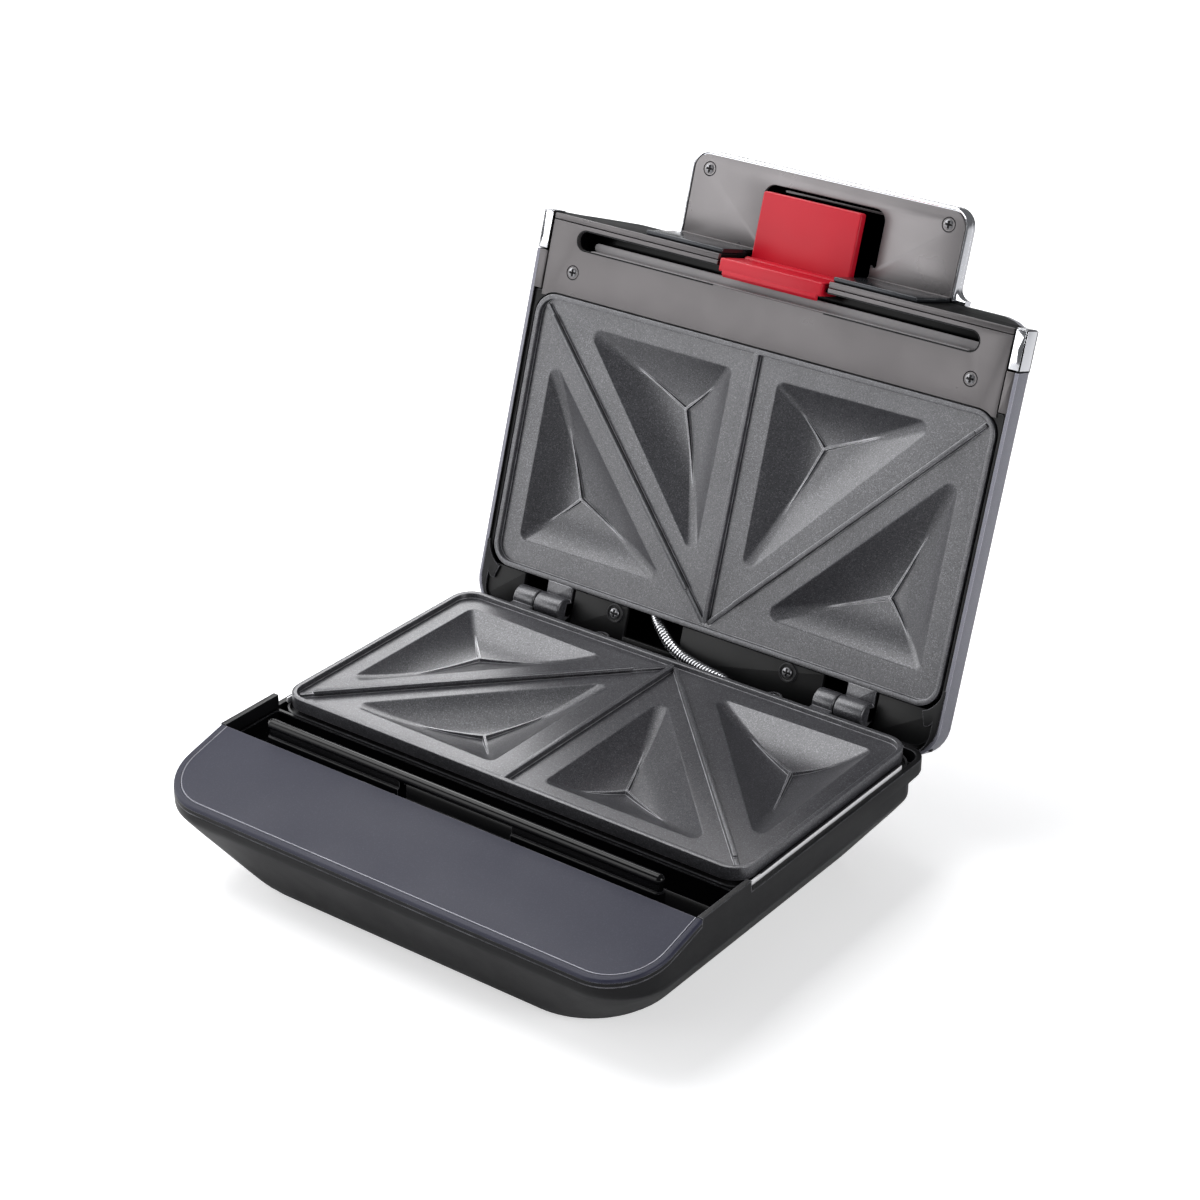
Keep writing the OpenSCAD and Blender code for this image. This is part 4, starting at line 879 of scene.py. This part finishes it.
# Painted shade: black crosses fill the cross recesses of the screw heads.
cross = join(*[box((-a, -b, -0.2), (a, b, 0.97), 0.05) for a, b in ((1.55, 0.4), (0.4, 1.55))])
base_screws = [(x, base_screw_y, -5.0) for x in rear_screw_x]
floor_screws = [(x, y, body_z - 1.2) for x in (-88, 88) for y in (-60, 8)]
piece("rear_crosses", at_all(cross, base_screws), "base", "gloss_black")
piece("base_screws", at_all(head, base_screws), "base", "screw", ["base_rear_screws"])
piece("floor_screws", at_all(head, floor_screws, True), "base", "screw", ["bottom_screws"])
foot = [(0.5, 0.0), (6.6, 0.0), (7.4, 0.15), (7.9, 0.6), (8.0, 1.0), (8.0, 1.8), (0.5, 1.8)]
feet_at = [(x, y, -rim_z) for x in (-78, 78) for y in (-96, 40.5)]
piece("feet", at_all(turned(foot), feet_at), "base", "rubber", ["rubber_feet"])
gland = [(3.6, -6), (7.3, -6), (7.6, -5.7), (7.6, -4.4), (5.6, -4.4), (5.6, 3.2), (7.6, 3.2), (7.6, 5.5),
         (7.3, 6), (4.1, 6), (3.6, 5.5)]
piece("gland", turned(gland, (-60, 54, -36), "y", loop=True), "base", "rubber", ["cord_gland"])

# %% [markdown]
# ## The lid
# The cover is a pressed dome without a front: a path runs from the right front corner round the rear to the
# left front corner, and a stack of these paths, narrower with height, makes the outer skin. The inner skin
# is the same stack moved in by the wall. Its lower edge makes room for the end caps at the front. Ledges
# beside the front bar and flanges round the plate's rear corners turn inwards. A box could be pushed into
# this shape by hand, but the stack keeps each width at its height.

# %% Cover
lid_hw, lid_front, lid_rear = 119.5, -96.0, 83.0
cover_marks = np.array([lid_front, -79.6, -79.2, -62.0, -20.0, 20.0, 50.0])


def cover_path(hw, rear, r):
    """Right side from the front to the rear, round the rear corners, and back along the left side. The marks
    on the sides are where the lower edge steps."""
    y = np.interp(cover_marks, [lid_front, 68], [lid_front, rear - r])
    right = np.stack([np.full(len(y), hw), y], -1)
    corners = arc((hw - r, rear - r), r, 4, 90, 9), arc((-hw + r, rear - r), r, 90, 176, 9)
    return np.concatenate([right, *corners, right[::-1] * (-1, 1)])


full = cover_path(lid_hw, lid_rear, 15)
edge_z = np.where(full[:, 1] < -79.4, 9.0, 0.0)
outside = [
    (119.5, 83, 15, edge_z), (119.5, 83, 15, edge_z + 0.3), (119.5, 83, 15, 8.6), (119.2, 82.9, 15, 9.4),
    (110.5, 79, 16, 15), (102.5, 72, 18, 26), (94.7, 63.2, 20, 34), (93.5, 62, 20, 35.2),
    (92.1, 60.6, 19.5, 35.85), (90.5, 59, 19, 36)]
inside = [
    (117.9, 81.4, 13.4, edge_z), (117.7, 81.2, 13.2, edge_z + 0.3), (117.7, 81.2, 13.2, 8.0),
    (117.1, 81, 13.2, 8.8), (108.7, 77.2, 14.2, 14.2), (100.7, 70.2, 16.2, 25.2), (93.1, 61.6, 18, 32.6),
    (92.1, 60.4, 18, 33.6), (90.9, 59.2, 17.5, 34.1), (89.5, 58, 17, 34.2)]
skin = lambda rows: np.array([raised(cover_path(hw, rear, r), z) for hw, rear, r, z in rows])
corner_flange = np.concatenate([
    arc((105, 51.5), 12, 3, 68, 12), arc((112, 65.5), 3, 100, 0, 7), [[115, 70.5]],
    arc((105.2, 71.5), 9.8, 0, 60, 7), arc((104.5, 68), 14, 60, 0, 9), [[118.5, 51.7]]])[::-1]
cover = piece("cover", shell(skin(outside), skin(inside)), "lid", "silver_cover", ["lid_cover"], 24)
piece("ledges", both(box((114.1, -79.2, 0), (117.9, -62.4, 1.8), 0.3)), "lid", "gunmetal")
piece("flanges", both(slab(corner_flange, 0.0, 0.9, 0.15)), "lid", "black_plastic")

# %% [markdown]
# A thin bright trim follows the cover's front edge over the dome. A curve with a bevel would give a round
# wire. The trim is a flat ribbon, so it is a strip whose profile has four corners.

# %% Trim of the front edge


def front_arch(d):
    """The cover's front outline seen from the front, moved inwards by d, from right to left."""
    half = np.array([(119.1, 9.6), (110.5, 15), (102.5, 26), (94.7, 34), (93.5, 35.2), (91.6, 36)], float)
    line = np.concatenate([half, half[::-1] * (-1, 1)])
    step = np.gradient(line, axis=0)
    normal = np.stack([-step[:, 1], step[:, 0]], -1) / np.linalg.norm(step, axis=1)[:, None]
    return line + normal * d


trim = [(0, -95.4), (0, lid_front), (0.55, lid_front), (0.55, -95.4)]
piece("front_trim", strip(front_arch, trim, 1), "lid", "chrome")

# %% [markdown]
# In front, a black wall closes the dome and leaves an opening for the latch. Behind and beside the plate
# lies the black inner frame, with gaps for the hinge and the conduit and a raised ring round each rear
# screw. The wall and the frame are flat sheets, so slabs and rings with small roundings are enough for
# them.

# %% Front wall and inner frame
latch_gap = 27.4
half_wall = [(latch_gap, 2.5), (113.6, 2.5), (113.6, 9.7), (115.1, 9.9), (108.8, 14.2), (100.8, 25.2),
             (93.1, 32.7), (90.9, 34.0)]
wall_corners = half_wall + [(-x, z) for x, z in half_wall[::-1]] + [(-latch_gap, 29), (latch_gap, 29)]
wall_line = rounded(wall_corners, [0.4] * 4 + [1] * 8 + [0.4] * 4 + [1.5] * 2, 5)
lug = box((29.5, -94.3, 14.5), (32.5, -87.0, 24.5), 0.3)
front_wall = join(slab(wall_line, lid_front, -94.2, 0.25, "y"), both(lug))
piece("front_wall", front_wall, "lid", "black_plastic", ["lid_front_wall"])

frame_line = plan(117.6, -61.9, 81.1, 1, 13.2, 9)
frame_ring = ring(frame_line, plan(115.9, -61.7, 78.0, 10, 10, 9), 1.2, 3.2, 0.2)
skirt_ring = ring(frame_line, plan(116.4, -61.7, 79.9, 1, 12, 9), 1.2, 8.8, 0.2)
panel_spans = (
    (-116.5, -95.5, 61.9), (-67.5, -39, 61.9), (-39.2, -9.8, 75), (-10, 61.5, 61.9), (88.5, 116.5, 61.9))
panels = [box((x0, y0, 1.2), (x1, 78.4, 3.2), 0.25) for x0, x1, y0 in panel_spans]
seat = [(0.8, 2.6), (4.2, 2.6), (4.2, 0.3), (4.0, 0.05), (3.6, 0.0), (3.35, 0.15), (3.3, 0.5), (0.8, 0.5)]
seats = at_all(turned(seat), [(x, 66, 0) for x in rear_screw_x])
piece("inner_frame", join(frame_ring, skirt_ring, *panels, seats), "lid", "gloss_black", ["lid_inner_frame"])

# %% [markdown]
# The front bar is a metal plate with a long slot, into which the rail goes when the lid shuts. The slot is
# open to the front where the latch passes. A separate lip runs along its front edge, so a fine dark line
# stays between the two. Inside the slot, a black trough and a black floor paint the shade of its deep
# interior, and light grey strips, a flat one and one on the rear wall, paint the light that reaches in. The
# slot could be cut out of the plate, but since it is open to the front, the outline can go round it.

# %% Front bar, lip and slot
bar_hw, slot_y, slot_r, slot_hw, bar_low, bar_high = 113.5, -87.0, 4.1, 99.5, 0.4, 2.4
trough_wall, trough_end = 1.2, 13
corner = arc((105, -51.5), 10.7, -90, -53, 7)
right_half = np.concatenate([[[latch_gap, -93.2], [bar_hw, -93.2], [bar_hw, -60.05]], corner[::-1]])


def slot_half(grow):
    """Right half of the slot's edge, moved outwards by a negative grow, from the back to the latch's gap."""
    r = slot_r - grow
    end = arc((slot_hw - slot_r, slot_y), r, 90, -90, 13)
    return np.concatenate([[[latch_gap, slot_y + r]], end, [[latch_gap, slot_y - r]]])


slot_right = slot_half(0)[1:]
bar_line = np.concatenate([right_half, right_half[::-1] * (-1, 1), slot_right[::-1] * (-1, 1), slot_right])
lip = box((latch_gap, lid_front, bar_low), (bar_hw, -93.6, bar_high), 0.3)
front_bar = join(slab(bar_line, bar_low, bar_high, 0.22), both(lip))
piece("front_bar", front_bar, "lid", "gunmetal", ["front_bar"], 28)
edge_band = np.concatenate([slot_half(0.05), slot_half(-0.55)[::-1]])
piece("slot_edge", both(slab(edge_band, bar_low - 0.03, bar_low + 0.3, 0.02)), "lid", "gloss_black")
slot_line = lambda grow: stadium(-slot_hw - grow, slot_hw + grow, slot_y, slot_r + grow)
# Painted shade: trough and floor are gloss black for the shade deep inside the slot.
trough = ring(slot_line(trough_wall), slot_line(0), bar_high, trough_end, 0.2)
piece("slot_trough", trough, "lid", "gloss_black", ["slot_liner"])
# Painted light: the light grey strips stand where light reaches the slot's wall.
floor_strip = slab(stadium(-slot_hw + 5.7, slot_hw - 0.4, slot_y + 2.1, 1.85), 5.95, 6.6, 0.2)
wall_strip = box((-slot_hw + 7.5, slot_y + 3.75, 1.0), (slot_hw - 4, slot_y + 4.05, 5.6), 0.1)
piece("slot_floor", slab(slot_line(1), 12, trough_end, 0.3), "lid", "gloss_black")
piece("slot_strip", join(floor_strip, wall_strip), "lid", "liner")

# %% [markdown]
# Plated caps close the front corners. Screws of the bar and the handle sit in black dished rings that
# paint the shade of their countersinks, those of the inner frame in its rings, and black crosses in the
# heads paint the shade in their recesses. Two round lenses stand on the top of the cover. A cap could be one
# rounded block, but its faces meet in dark lines, so it is three thin plates over a dark core.

# %% Caps, countersink shades and screws of the lid
cap_core = box((114.15, -96.5, 0.1), (119.4, -79.7, 9.0), 0.35, 0.4)
cap_under = box((114.6, -96.2, 0.0), (119.0, -80.1, 0.6), 0.12)
cap_side = box((118.6, -96.2, 0.5), (119.5, -80.1, 8.6), 0.12, 0.12, "x")
cap_face = box((114.5, -96.6, 0.5), (119.1, -96.1, 8.6), 0.12, 0.12, "y")
cap = join(cap_under, cap_side, cap_face)
piece("cap_right", cap, "lid", "chrome", ["end_cap_right"], 40)
piece("cap_left", mirrored(cap), "lid", "chrome", ["end_cap_left"], 40)
piece("cap_cores", both(cap_core), "lid", "gloss_black")
bar_screws = [(x, -72.4, 1.2) for x in (-99.1, 99.1)]
handle_screws = [(x, -127, 31.8) for x in (-59.4, 59.4)]
frame_screws = [(x, 66, 0.5) for x in rear_screw_x]
# Painted shade: black dished rings round the bar and handle screws stand for the shade in their countersinks.
bush = [(0.8, 1.4), (3.3, 1.4), (3.3, 0.1), (3.22, -0.06), (3.1, -0.1), (2.75, 0.0), (2.55, 0.6), (0.8, 0.6)]
bushes = at_all(turned(bush), [(x, y, z - 0.8) for x, y, z in bar_screws + handle_screws])
piece("bushes", bushes, "lid", "gloss_black")
piece("bar_screw_heads", at_all(head, bar_screws, True), "lid", "screw", ["bar_screws"])
short_head = screw_head(length=3)
piece("handle_screw_heads", at_all(short_head, handle_screws, True), "lid", "screw", ["handle_screws"])
# Painted shade: black crosses fill the cross recesses of the screw heads.
piece("crosses", at_all(cross, bar_screws + handle_screws + frame_screws, True), "lid", "gloss_black")
piece("frame_screws", at_all(head, frame_screws, True), "lid", "screw", ["lid_rear_screws"])
lens = [(0.01, 0.8), (1.2, 0.74), (2.2, 0.5), (2.8, 0.15), (3.0, -0.3), (3.0, -4), (0.01, -4)]
piece("lenses", at_all(turned(lens), [(x, -70, 36) for x in (-14, 14)]), "lid", "lens", ["indicator_lenses"])

# %% [markdown]
# ## Handle and latch
# The handle is a chromed moulding with a gunmetal plate set into its face. Plate and moulding share a
# window for the latch, which opens down to the lid. The moulding flares where it meets the lid. It is made
# of a back, a layer with the window, and an edge that wraps the plate on three sides; they meet flush. A
# dark skin covers its rear. Below the plate a smoked leg goes down to the lid, with a thin fold between the
# two. The window could be cut out of one block; in layers, each edge gets the rounding of its own.

# %% Outlines of the handle
handle_hw, handle_front, handle_r, leg_front, flare = 68.5, -134.6, 8.0, -98.1, 5.0
face_low, face_high, layer_high, back_high, skin_high = 31.0, 32.6, 35.3, 36.9, 37.5


def window(grow, back):
    """Right half of the window's edge from the back to the front, as points."""
    hw, r = 30 + grow, 5.0
    shoulder = arc((hw - 1.2, -103.6 + grow), 1.2, 90, 0, 4)
    corner = arc((hw - r, -126.5 - grow + r), r, 0, -90, 7)
    return np.concatenate([[[latch_gap, back], [latch_gap, -103.4 + grow]], shoulder, corner])


def handle_line(grow, back):
    """Right half of the handle's outline from the front to the back, with the concave flare."""
    hw, y0, r = handle_hw + grow, handle_front - grow, handle_r + grow
    half = [arc((hw - r, y0 + r), r, -90, 0, 9)]
    if grow > -0.1:
        half.append(arc((hw + flare, leg_front - flare), flare, 180, 90, 9))
    return np.concatenate(half + [[[half[-1][-1][0], back]]])


def full_line(half):
    """Both halves of an outline."""
    return np.concatenate([half, half[::-1] * (-1, 1)])


def with_window(half, edge):
    """Both halves of an outline, cut away round the window."""
    return np.concatenate([half, edge, edge[::-1] * (-1, 1), half[::-1] * (-1, 1)])


def edge_line(d):
    """The handle's edge on three sides, inset by d."""
    corner = arc((handle_hw - handle_r, handle_front + handle_r), handle_r - d, -90, 0, 9)
    right = np.concatenate([corner, [[handle_hw - d, leg_front + 0.9]]])
    return np.concatenate([right[::-1] * (-1, 1), right[1:]])

# %% Handle
solid = handle_line(0, lid_front - 0.1)
back = slab(full_line(solid), layer_high, back_high, 0.02)
back_skin = slab(full_line(solid), back_high, skin_high, 0.35, low_bevel=0.02)
layer = slab(with_window(solid, window(0.8, lid_front - 0.1)), face_high, layer_high, 0.02)
wrap_edge = [(0, face_high), (0, 31.7), (0.12, 31.25), (0.4, 31.0), (0.8, 30.95), (1.05, 31.1), (1.15, 31.4),
             (1.15, face_high)]
body = join(back, layer, strip(edge_line, wrap_edge))
piece("handle_body", body, "lid", "chrome", ["handle_shell"], 30)
piece("handle_back", back_skin, "lid", "gloss_black", angle=30)
face_line = with_window(handle_line(-1.5, leg_front), window(0.0, leg_front))
face = slab(face_line, face_low, face_high, 0.25, low_bevel=0.35)
piece("handle_face", face, "lid", "gunmetal", ["handle_plate"], 30)
leg = box((latch_gap + 0.1, leg_front, bar_high + 0.5), (handle_hw - 1.5, -96.15, 31.6), 0.45)
piece("handle_leg", both(leg), "lid", "gunmetal")
fold = box((latch_gap + 0.2, leg_front - 0.35, 29.9), (handle_hw - 1.6, leg_front + 0.6, 30.9), 0.3, 0.3)
piece("handle_fold", both(fold), "lid", "gunmetal")
piece("window_glint", box((-22, -125.3, 34.9), (29, -124.3, 35.4), 0.1), "lid", "gunmetal")

# %% [markdown]
# The latch is one red moulding: a thumb tab in the handle's window, a neck that comes down through the bar,
# a tooth at its end and a barrel that turns on the pin. Four rounded solids that run into one another are
# enough for it.

# %% Latch
latch_hw = 25.3
tab = box((-24.4, -124.0, 21.0), (24.4, -90.0, 25.0), 0.7, 1.0)
neck = box((-latch_hw, -94.8, -1.2), (latch_hw, -89.2, 25.0), 0.6, 0.7, "x")
tooth_line = rounded([(-90.0, -1.2), (-88.2, -1.2), (-87.0, -0.1), (-87.0, 0.7), (-90.0, 0.7)], 0.25, 3)
tooth = slab(tooth_line, -23.4, 23.4, 0.3, "x")
barrel = rod(-latch_hw, latch_hw, -92.2, 19.5, 3.6, 0.4)
piece("red_latch", join(tab, neck, tooth, barrel), "latch", "red_latch", ["latch"], 40)

# %% [markdown]
# ## The conduit
# An armoured conduit carries the wires from the base into the lid. It is a spiral of steel strip: along a
# smooth curve the radius swells and sinks with the phase of a screw thread, so the ridges climb round the
# tube. The tube is drawn in the open pose and rides on neither body. A bevelled curve would be simpler, but
# it would give a smooth hose.

# %% Path and tube of the conduit
conduit_path = np.array([
    (26, 63.6, -10), (24.5, 63.6, -6), (20, 64, -3.8), (13, 65, -3.6), (3, 67.5, -3.7),
    (-6.5, 70.5, -3.4), (-15, 74, -1.3), (-24, 80, 1.4), (-30, 86, 1.6), (-34, 91, 0.5)], float)


def smooth_path(knots, steps=60):
    """Catmull-Rom curve through the knots: each stretch is a cubic whose slopes at its ends are half the
    difference of the neighbouring knots."""
    p = np.vstack([2 * knots[0] - knots[1], knots, 2 * knots[-1] - knots[-2]])
    t = np.linspace(0, 1, steps, endpoint=False)[None, :, None]
    a, b, c, d = (p[i:len(p) - 3 + i, None] for i in range(4))
    square, cube = 2 * a - 5 * b + 4 * c - d, 3 * b - a - 3 * c + d
    curve = 0.5 * (2 * b + (c - a) * t + square * t ** 2 + cube * t ** 3)
    return np.vstack([curve.reshape(-1, 3), knots[-1:]])


def spiral_tube(path, radius, pitch, ridge, count=20):
    """Tube whose radius is r - ridge (1 - |sin(pi (s / pitch - angle / 2 pi))|^0.7) at arc length s: one
    ridge that winds round the tube once every pitch."""
    length = np.concatenate([[0], np.cumsum(np.linalg.norm(np.diff(path, axis=0), axis=1))])
    s = np.arange(0, length[-1], pitch / 6)
    line = np.stack([np.interp(s, length, path[:, i]) for i in range(3)], -1)
    along = np.gradient(line, axis=0)
    along /= np.linalg.norm(along, axis=1)[:, None]
    side = np.cross(along, (0.0, 0.3, 1.0))
    side /= np.linalg.norm(side, axis=1)[:, None]
    up = np.cross(side, along)
    t = np.linspace(0, 2 * math.pi, count, endpoint=False)
    phase = s[:, None] / pitch - t[None] / (2 * math.pi)
    r = radius - ridge * (1 - np.abs(np.sin(math.pi * phase)) ** 0.7)
    around = np.cos(t)[None, :, None] * side[:, None] + np.sin(t)[None, :, None] * up[:, None]
    return stack(line[:, None] + r[..., None] * around)

# %% Conduit
curve, pitch = smooth_path(conduit_path), 1.7
tube = join(spiral_tube(curve, 2.6, pitch, 0.9), spiral_tube(curve, 2.0, pitch, 0.0))
conduit = piece("steel_conduit", tube, "base", "steel", ["conduit"], 60, ride=False)
tuple(place([24, 63.6, -6], "base"))
tuple(place([-30, 88, 1.5], "base"))
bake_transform(conduit)

# %% [markdown]
# ## Give every piece and every CAD node its finish
# The record says which slot each CAD node uses; the new pieces were given theirs when they were made. A few
# have a finish of their own: the lower reflector gets the dark sheet, painted shade for its rear seen past
# the plate; the handle's face gets the lighter gunmetal, painted light; and some black or metal pieces are
# more or less polished than the rest of their slot.

# %% Apply the finishes
slot_of = {s["node"]: s["material_slot"] for s in frame["record"]["subparts"]}
# Painted shade: the lower reflector's rear, seen past the plate, gets the dark sheet finish instead of its bright
# metal.
slot_of["lower_reflector"] = "dark_sheet"
own_finish = {"rail_rod": "polished_black", "handle_leg": "smoked", "handle_face": "light_gunmetal",
              "inner_frame": "satin_black", "front_wall": "matte_black"}
wanted = [(node, slot_of[name]) for name, node in frame["nodes"].items()]
wanted += [(obj, own_finish.get(name, obj["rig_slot"])) for name, obj in made.items()]
for obj, name in wanted:
    obj.data.materials.clear()
    obj.data.materials.append(finishes[name])
shown = [n for n, o in frame["nodes"].items() if not o.hide_render]
print("new pieces:", len(made), "CAD nodes still shown:", shown)

# %% [markdown]
# The inside of the cover is bare black plastic. Its faces are those whose normal points back to the middle
# of the lid.

# %% Inside of the cover
cover.data.materials.append(finishes["black_plastic"])
count = len(cover.data.polygons)
centres, normals = np.empty(count * 3), np.empty(count * 3)
cover.data.polygons.foreach_get("center", centres)
cover.data.polygons.foreach_get("normal", normals)
centres, normals = centres.reshape(-1, 3), normals.reshape(-1, 3)
middle = place(np.array([0, 0, 8.0]), "lid")
inward = ((centres - middle) * normals).sum(1) < 0
cover.data.polygons.foreach_set("material_index", inward.astype(np.int32))
print("faces inside the cover:", int(inward.sum()), "of", count)

# %% [markdown]
# ## Stage, light and camera
# The floor is pale and large enough to fill the view. To the camera it also glows a little, which lifts it
# to white without sending any more light at the toaster, and the toaster's shadow stays on it. The glow
# grows with the distance from the middle, where the lamps no longer reach. Large soft lamps stand for the
# lamps of a studio. A curved backdrop would also hide the horizon, but it would close the view from behind.

# %% Floor


def new_node(tree, kind, **values):
    """New node of a tree, with some of its inputs set by name."""
    node = tree.nodes.new(kind)
    for key, value in values.items():
        node.inputs[key.replace("_", " ")].default_value = value
    return node


def stage_floor(half=6):
    """Square floor under the feet, seen white by the camera. Its glow is for rays from the camera only, and
    it grows from floor_glow to 1 between two distances from the middle."""
    mesh = bpy.data.meshes.new("floor")
    corners = [(-half, -half, 0), (half, -half, 0), (half, half, 0), (-half, half, 0)]
    mesh.from_pydata(corners, [], [(0, 1, 2, 3)])
    floor_obj = bpy.data.objects.new("floor", mesh)
    bpy.context.scene.collection.objects.link(floor_obj)
    material = bpy.data.materials.new("floor")
    material.use_nodes = True
    tree = material.node_tree
    tree.nodes.clear()
    link = tree.links.new
    out, add = new_node(tree, "ShaderNodeOutputMaterial"), new_node(tree, "ShaderNodeAddShader")
    diffuse = new_node(tree, "ShaderNodeBsdfDiffuse", Color=(0.82, 0.82, 0.83, 1))
    glow, ray = new_node(tree, "ShaderNodeEmission"), new_node(tree, "ShaderNodeLightPath")
    spot, far = new_node(tree, "ShaderNodeTexCoord"), new_node(tree, "ShaderNodeVectorMath")
    far.operation = "LENGTH"
    grow = new_node(tree, "ShaderNodeMapRange", From_Min=glow_near, From_Max=glow_far, To_Min=floor_glow,
                    To_Max=1.0)
    share = new_node(tree, "ShaderNodeMath")
    share.operation = "MULTIPLY"
    link(spot.outputs["Object"], far.inputs[0])
    link(far.outputs["Value"], grow.inputs["Value"])
    link(ray.outputs["Is Camera Ray"], share.inputs[0])
    link(grow.outputs["Result"], share.inputs[1])
    link(share.outputs[0], glow.inputs["Strength"])
    link(diffuse.outputs[0], add.inputs[0])
    link(glow.outputs[0], add.inputs[1])
    link(add.outputs[0], out.inputs["Surface"])
    mesh.materials.append(material)


floor_glow, glow_near, glow_far = 0.5, 0.6, 1.6
stage_floor()
print("floor glows by", floor_glow, "below the toaster")

# %% [markdown]
# Five square lamps stand round the toaster, most of them on its left, and a weak sky fills the shadows. The
# camera sees that sky brighter than it shines, so that it is as white as the floor. A sun lamp would be
# simpler, but its shadows are hard and its highlights small.

# %% Lamps and sky


def lamp(name, at, aim, size, power):
    """Square area lamp at a point, turned to its aim; power in watts."""
    data = bpy.data.lights.new(name, "AREA")
    data.shape, data.size, data.energy = "SQUARE", size, power
    obj = bpy.data.objects.new(name, data)
    obj.location = at
    obj.rotation_euler = (Vector(aim) - Vector(at)).to_track_quat("-Z", "Y").to_euler()
    bpy.context.scene.collection.objects.link(obj)


lamp("top_left", (-0.75, -0.05, 1.35), (0, 0, 0.05), 1.1, 17)
lamp("left", (-1.6, -0.35, 0.65), (0, 0, 0.12), 1.1, 15)
lamp("front_left", (-1.1, -1.6, 0.6), (0, 0, 0.12), 1.2, 13)
lamp("rear_left", (-0.9, 1.2, 1.1), (0, 0, 0.08), 0.9, 13)
lamp("right", (1.6, -0.2, 0.6), (0, 0, 0.10), 0.8, 13)
sky_light, sky_seen = 0.15, 1.06
world = bpy.data.worlds.new("studio")
bpy.context.scene.world = world
world.use_nodes = True
sky = world.node_tree.nodes["Background"]
sky.inputs["Color"].default_value = (0.95, 0.97, 1.0, 1)
ray = new_node(world.node_tree, "ShaderNodeLightPath")
seen = new_node(world.node_tree, "ShaderNodeMapRange", To_Min=sky_light, To_Max=sky_seen)
world.node_tree.links.new(ray.outputs["Is Camera Ray"], seen.inputs["Value"])
world.node_tree.links.new(seen.outputs["Result"], sky.inputs["Strength"])
print("lamps:", len(bpy.data.lights))

# %% [markdown]
# The camera stands in front on the right and looks down at the toaster. A long lens from further away keeps
# the edges of the box nearly parallel, where a short one would spread them. The Standard view transform
# shows colours as they were set, where the others soften bright ones.

# %% Camera
focal_length, camera_at, camera_aim = 85.26, [607.07, -803.54, 569.39], [-60.254, 85.62, 0.0]
camera_data = bpy.data.cameras.new("camera")
camera_data.sensor_width, camera_data.lens = 36.0, focal_length
camera_data.clip_start, camera_data.clip_end = 0.05, 30
camera = bpy.data.objects.new("camera", camera_data)
camera.location = place(camera_at, "base")
target = Vector(place(camera_aim, "base"))
camera.rotation_euler = (target - camera.location).to_track_quat("-Z", "Y").to_euler()
bpy.context.scene.collection.objects.link(camera)
bpy.context.scene.camera = camera
bpy.context.scene.view_settings.view_transform = "Standard"
print("camera stands at", [round(x, 3) for x in camera.location], "with a lens of", focal_length, "mm")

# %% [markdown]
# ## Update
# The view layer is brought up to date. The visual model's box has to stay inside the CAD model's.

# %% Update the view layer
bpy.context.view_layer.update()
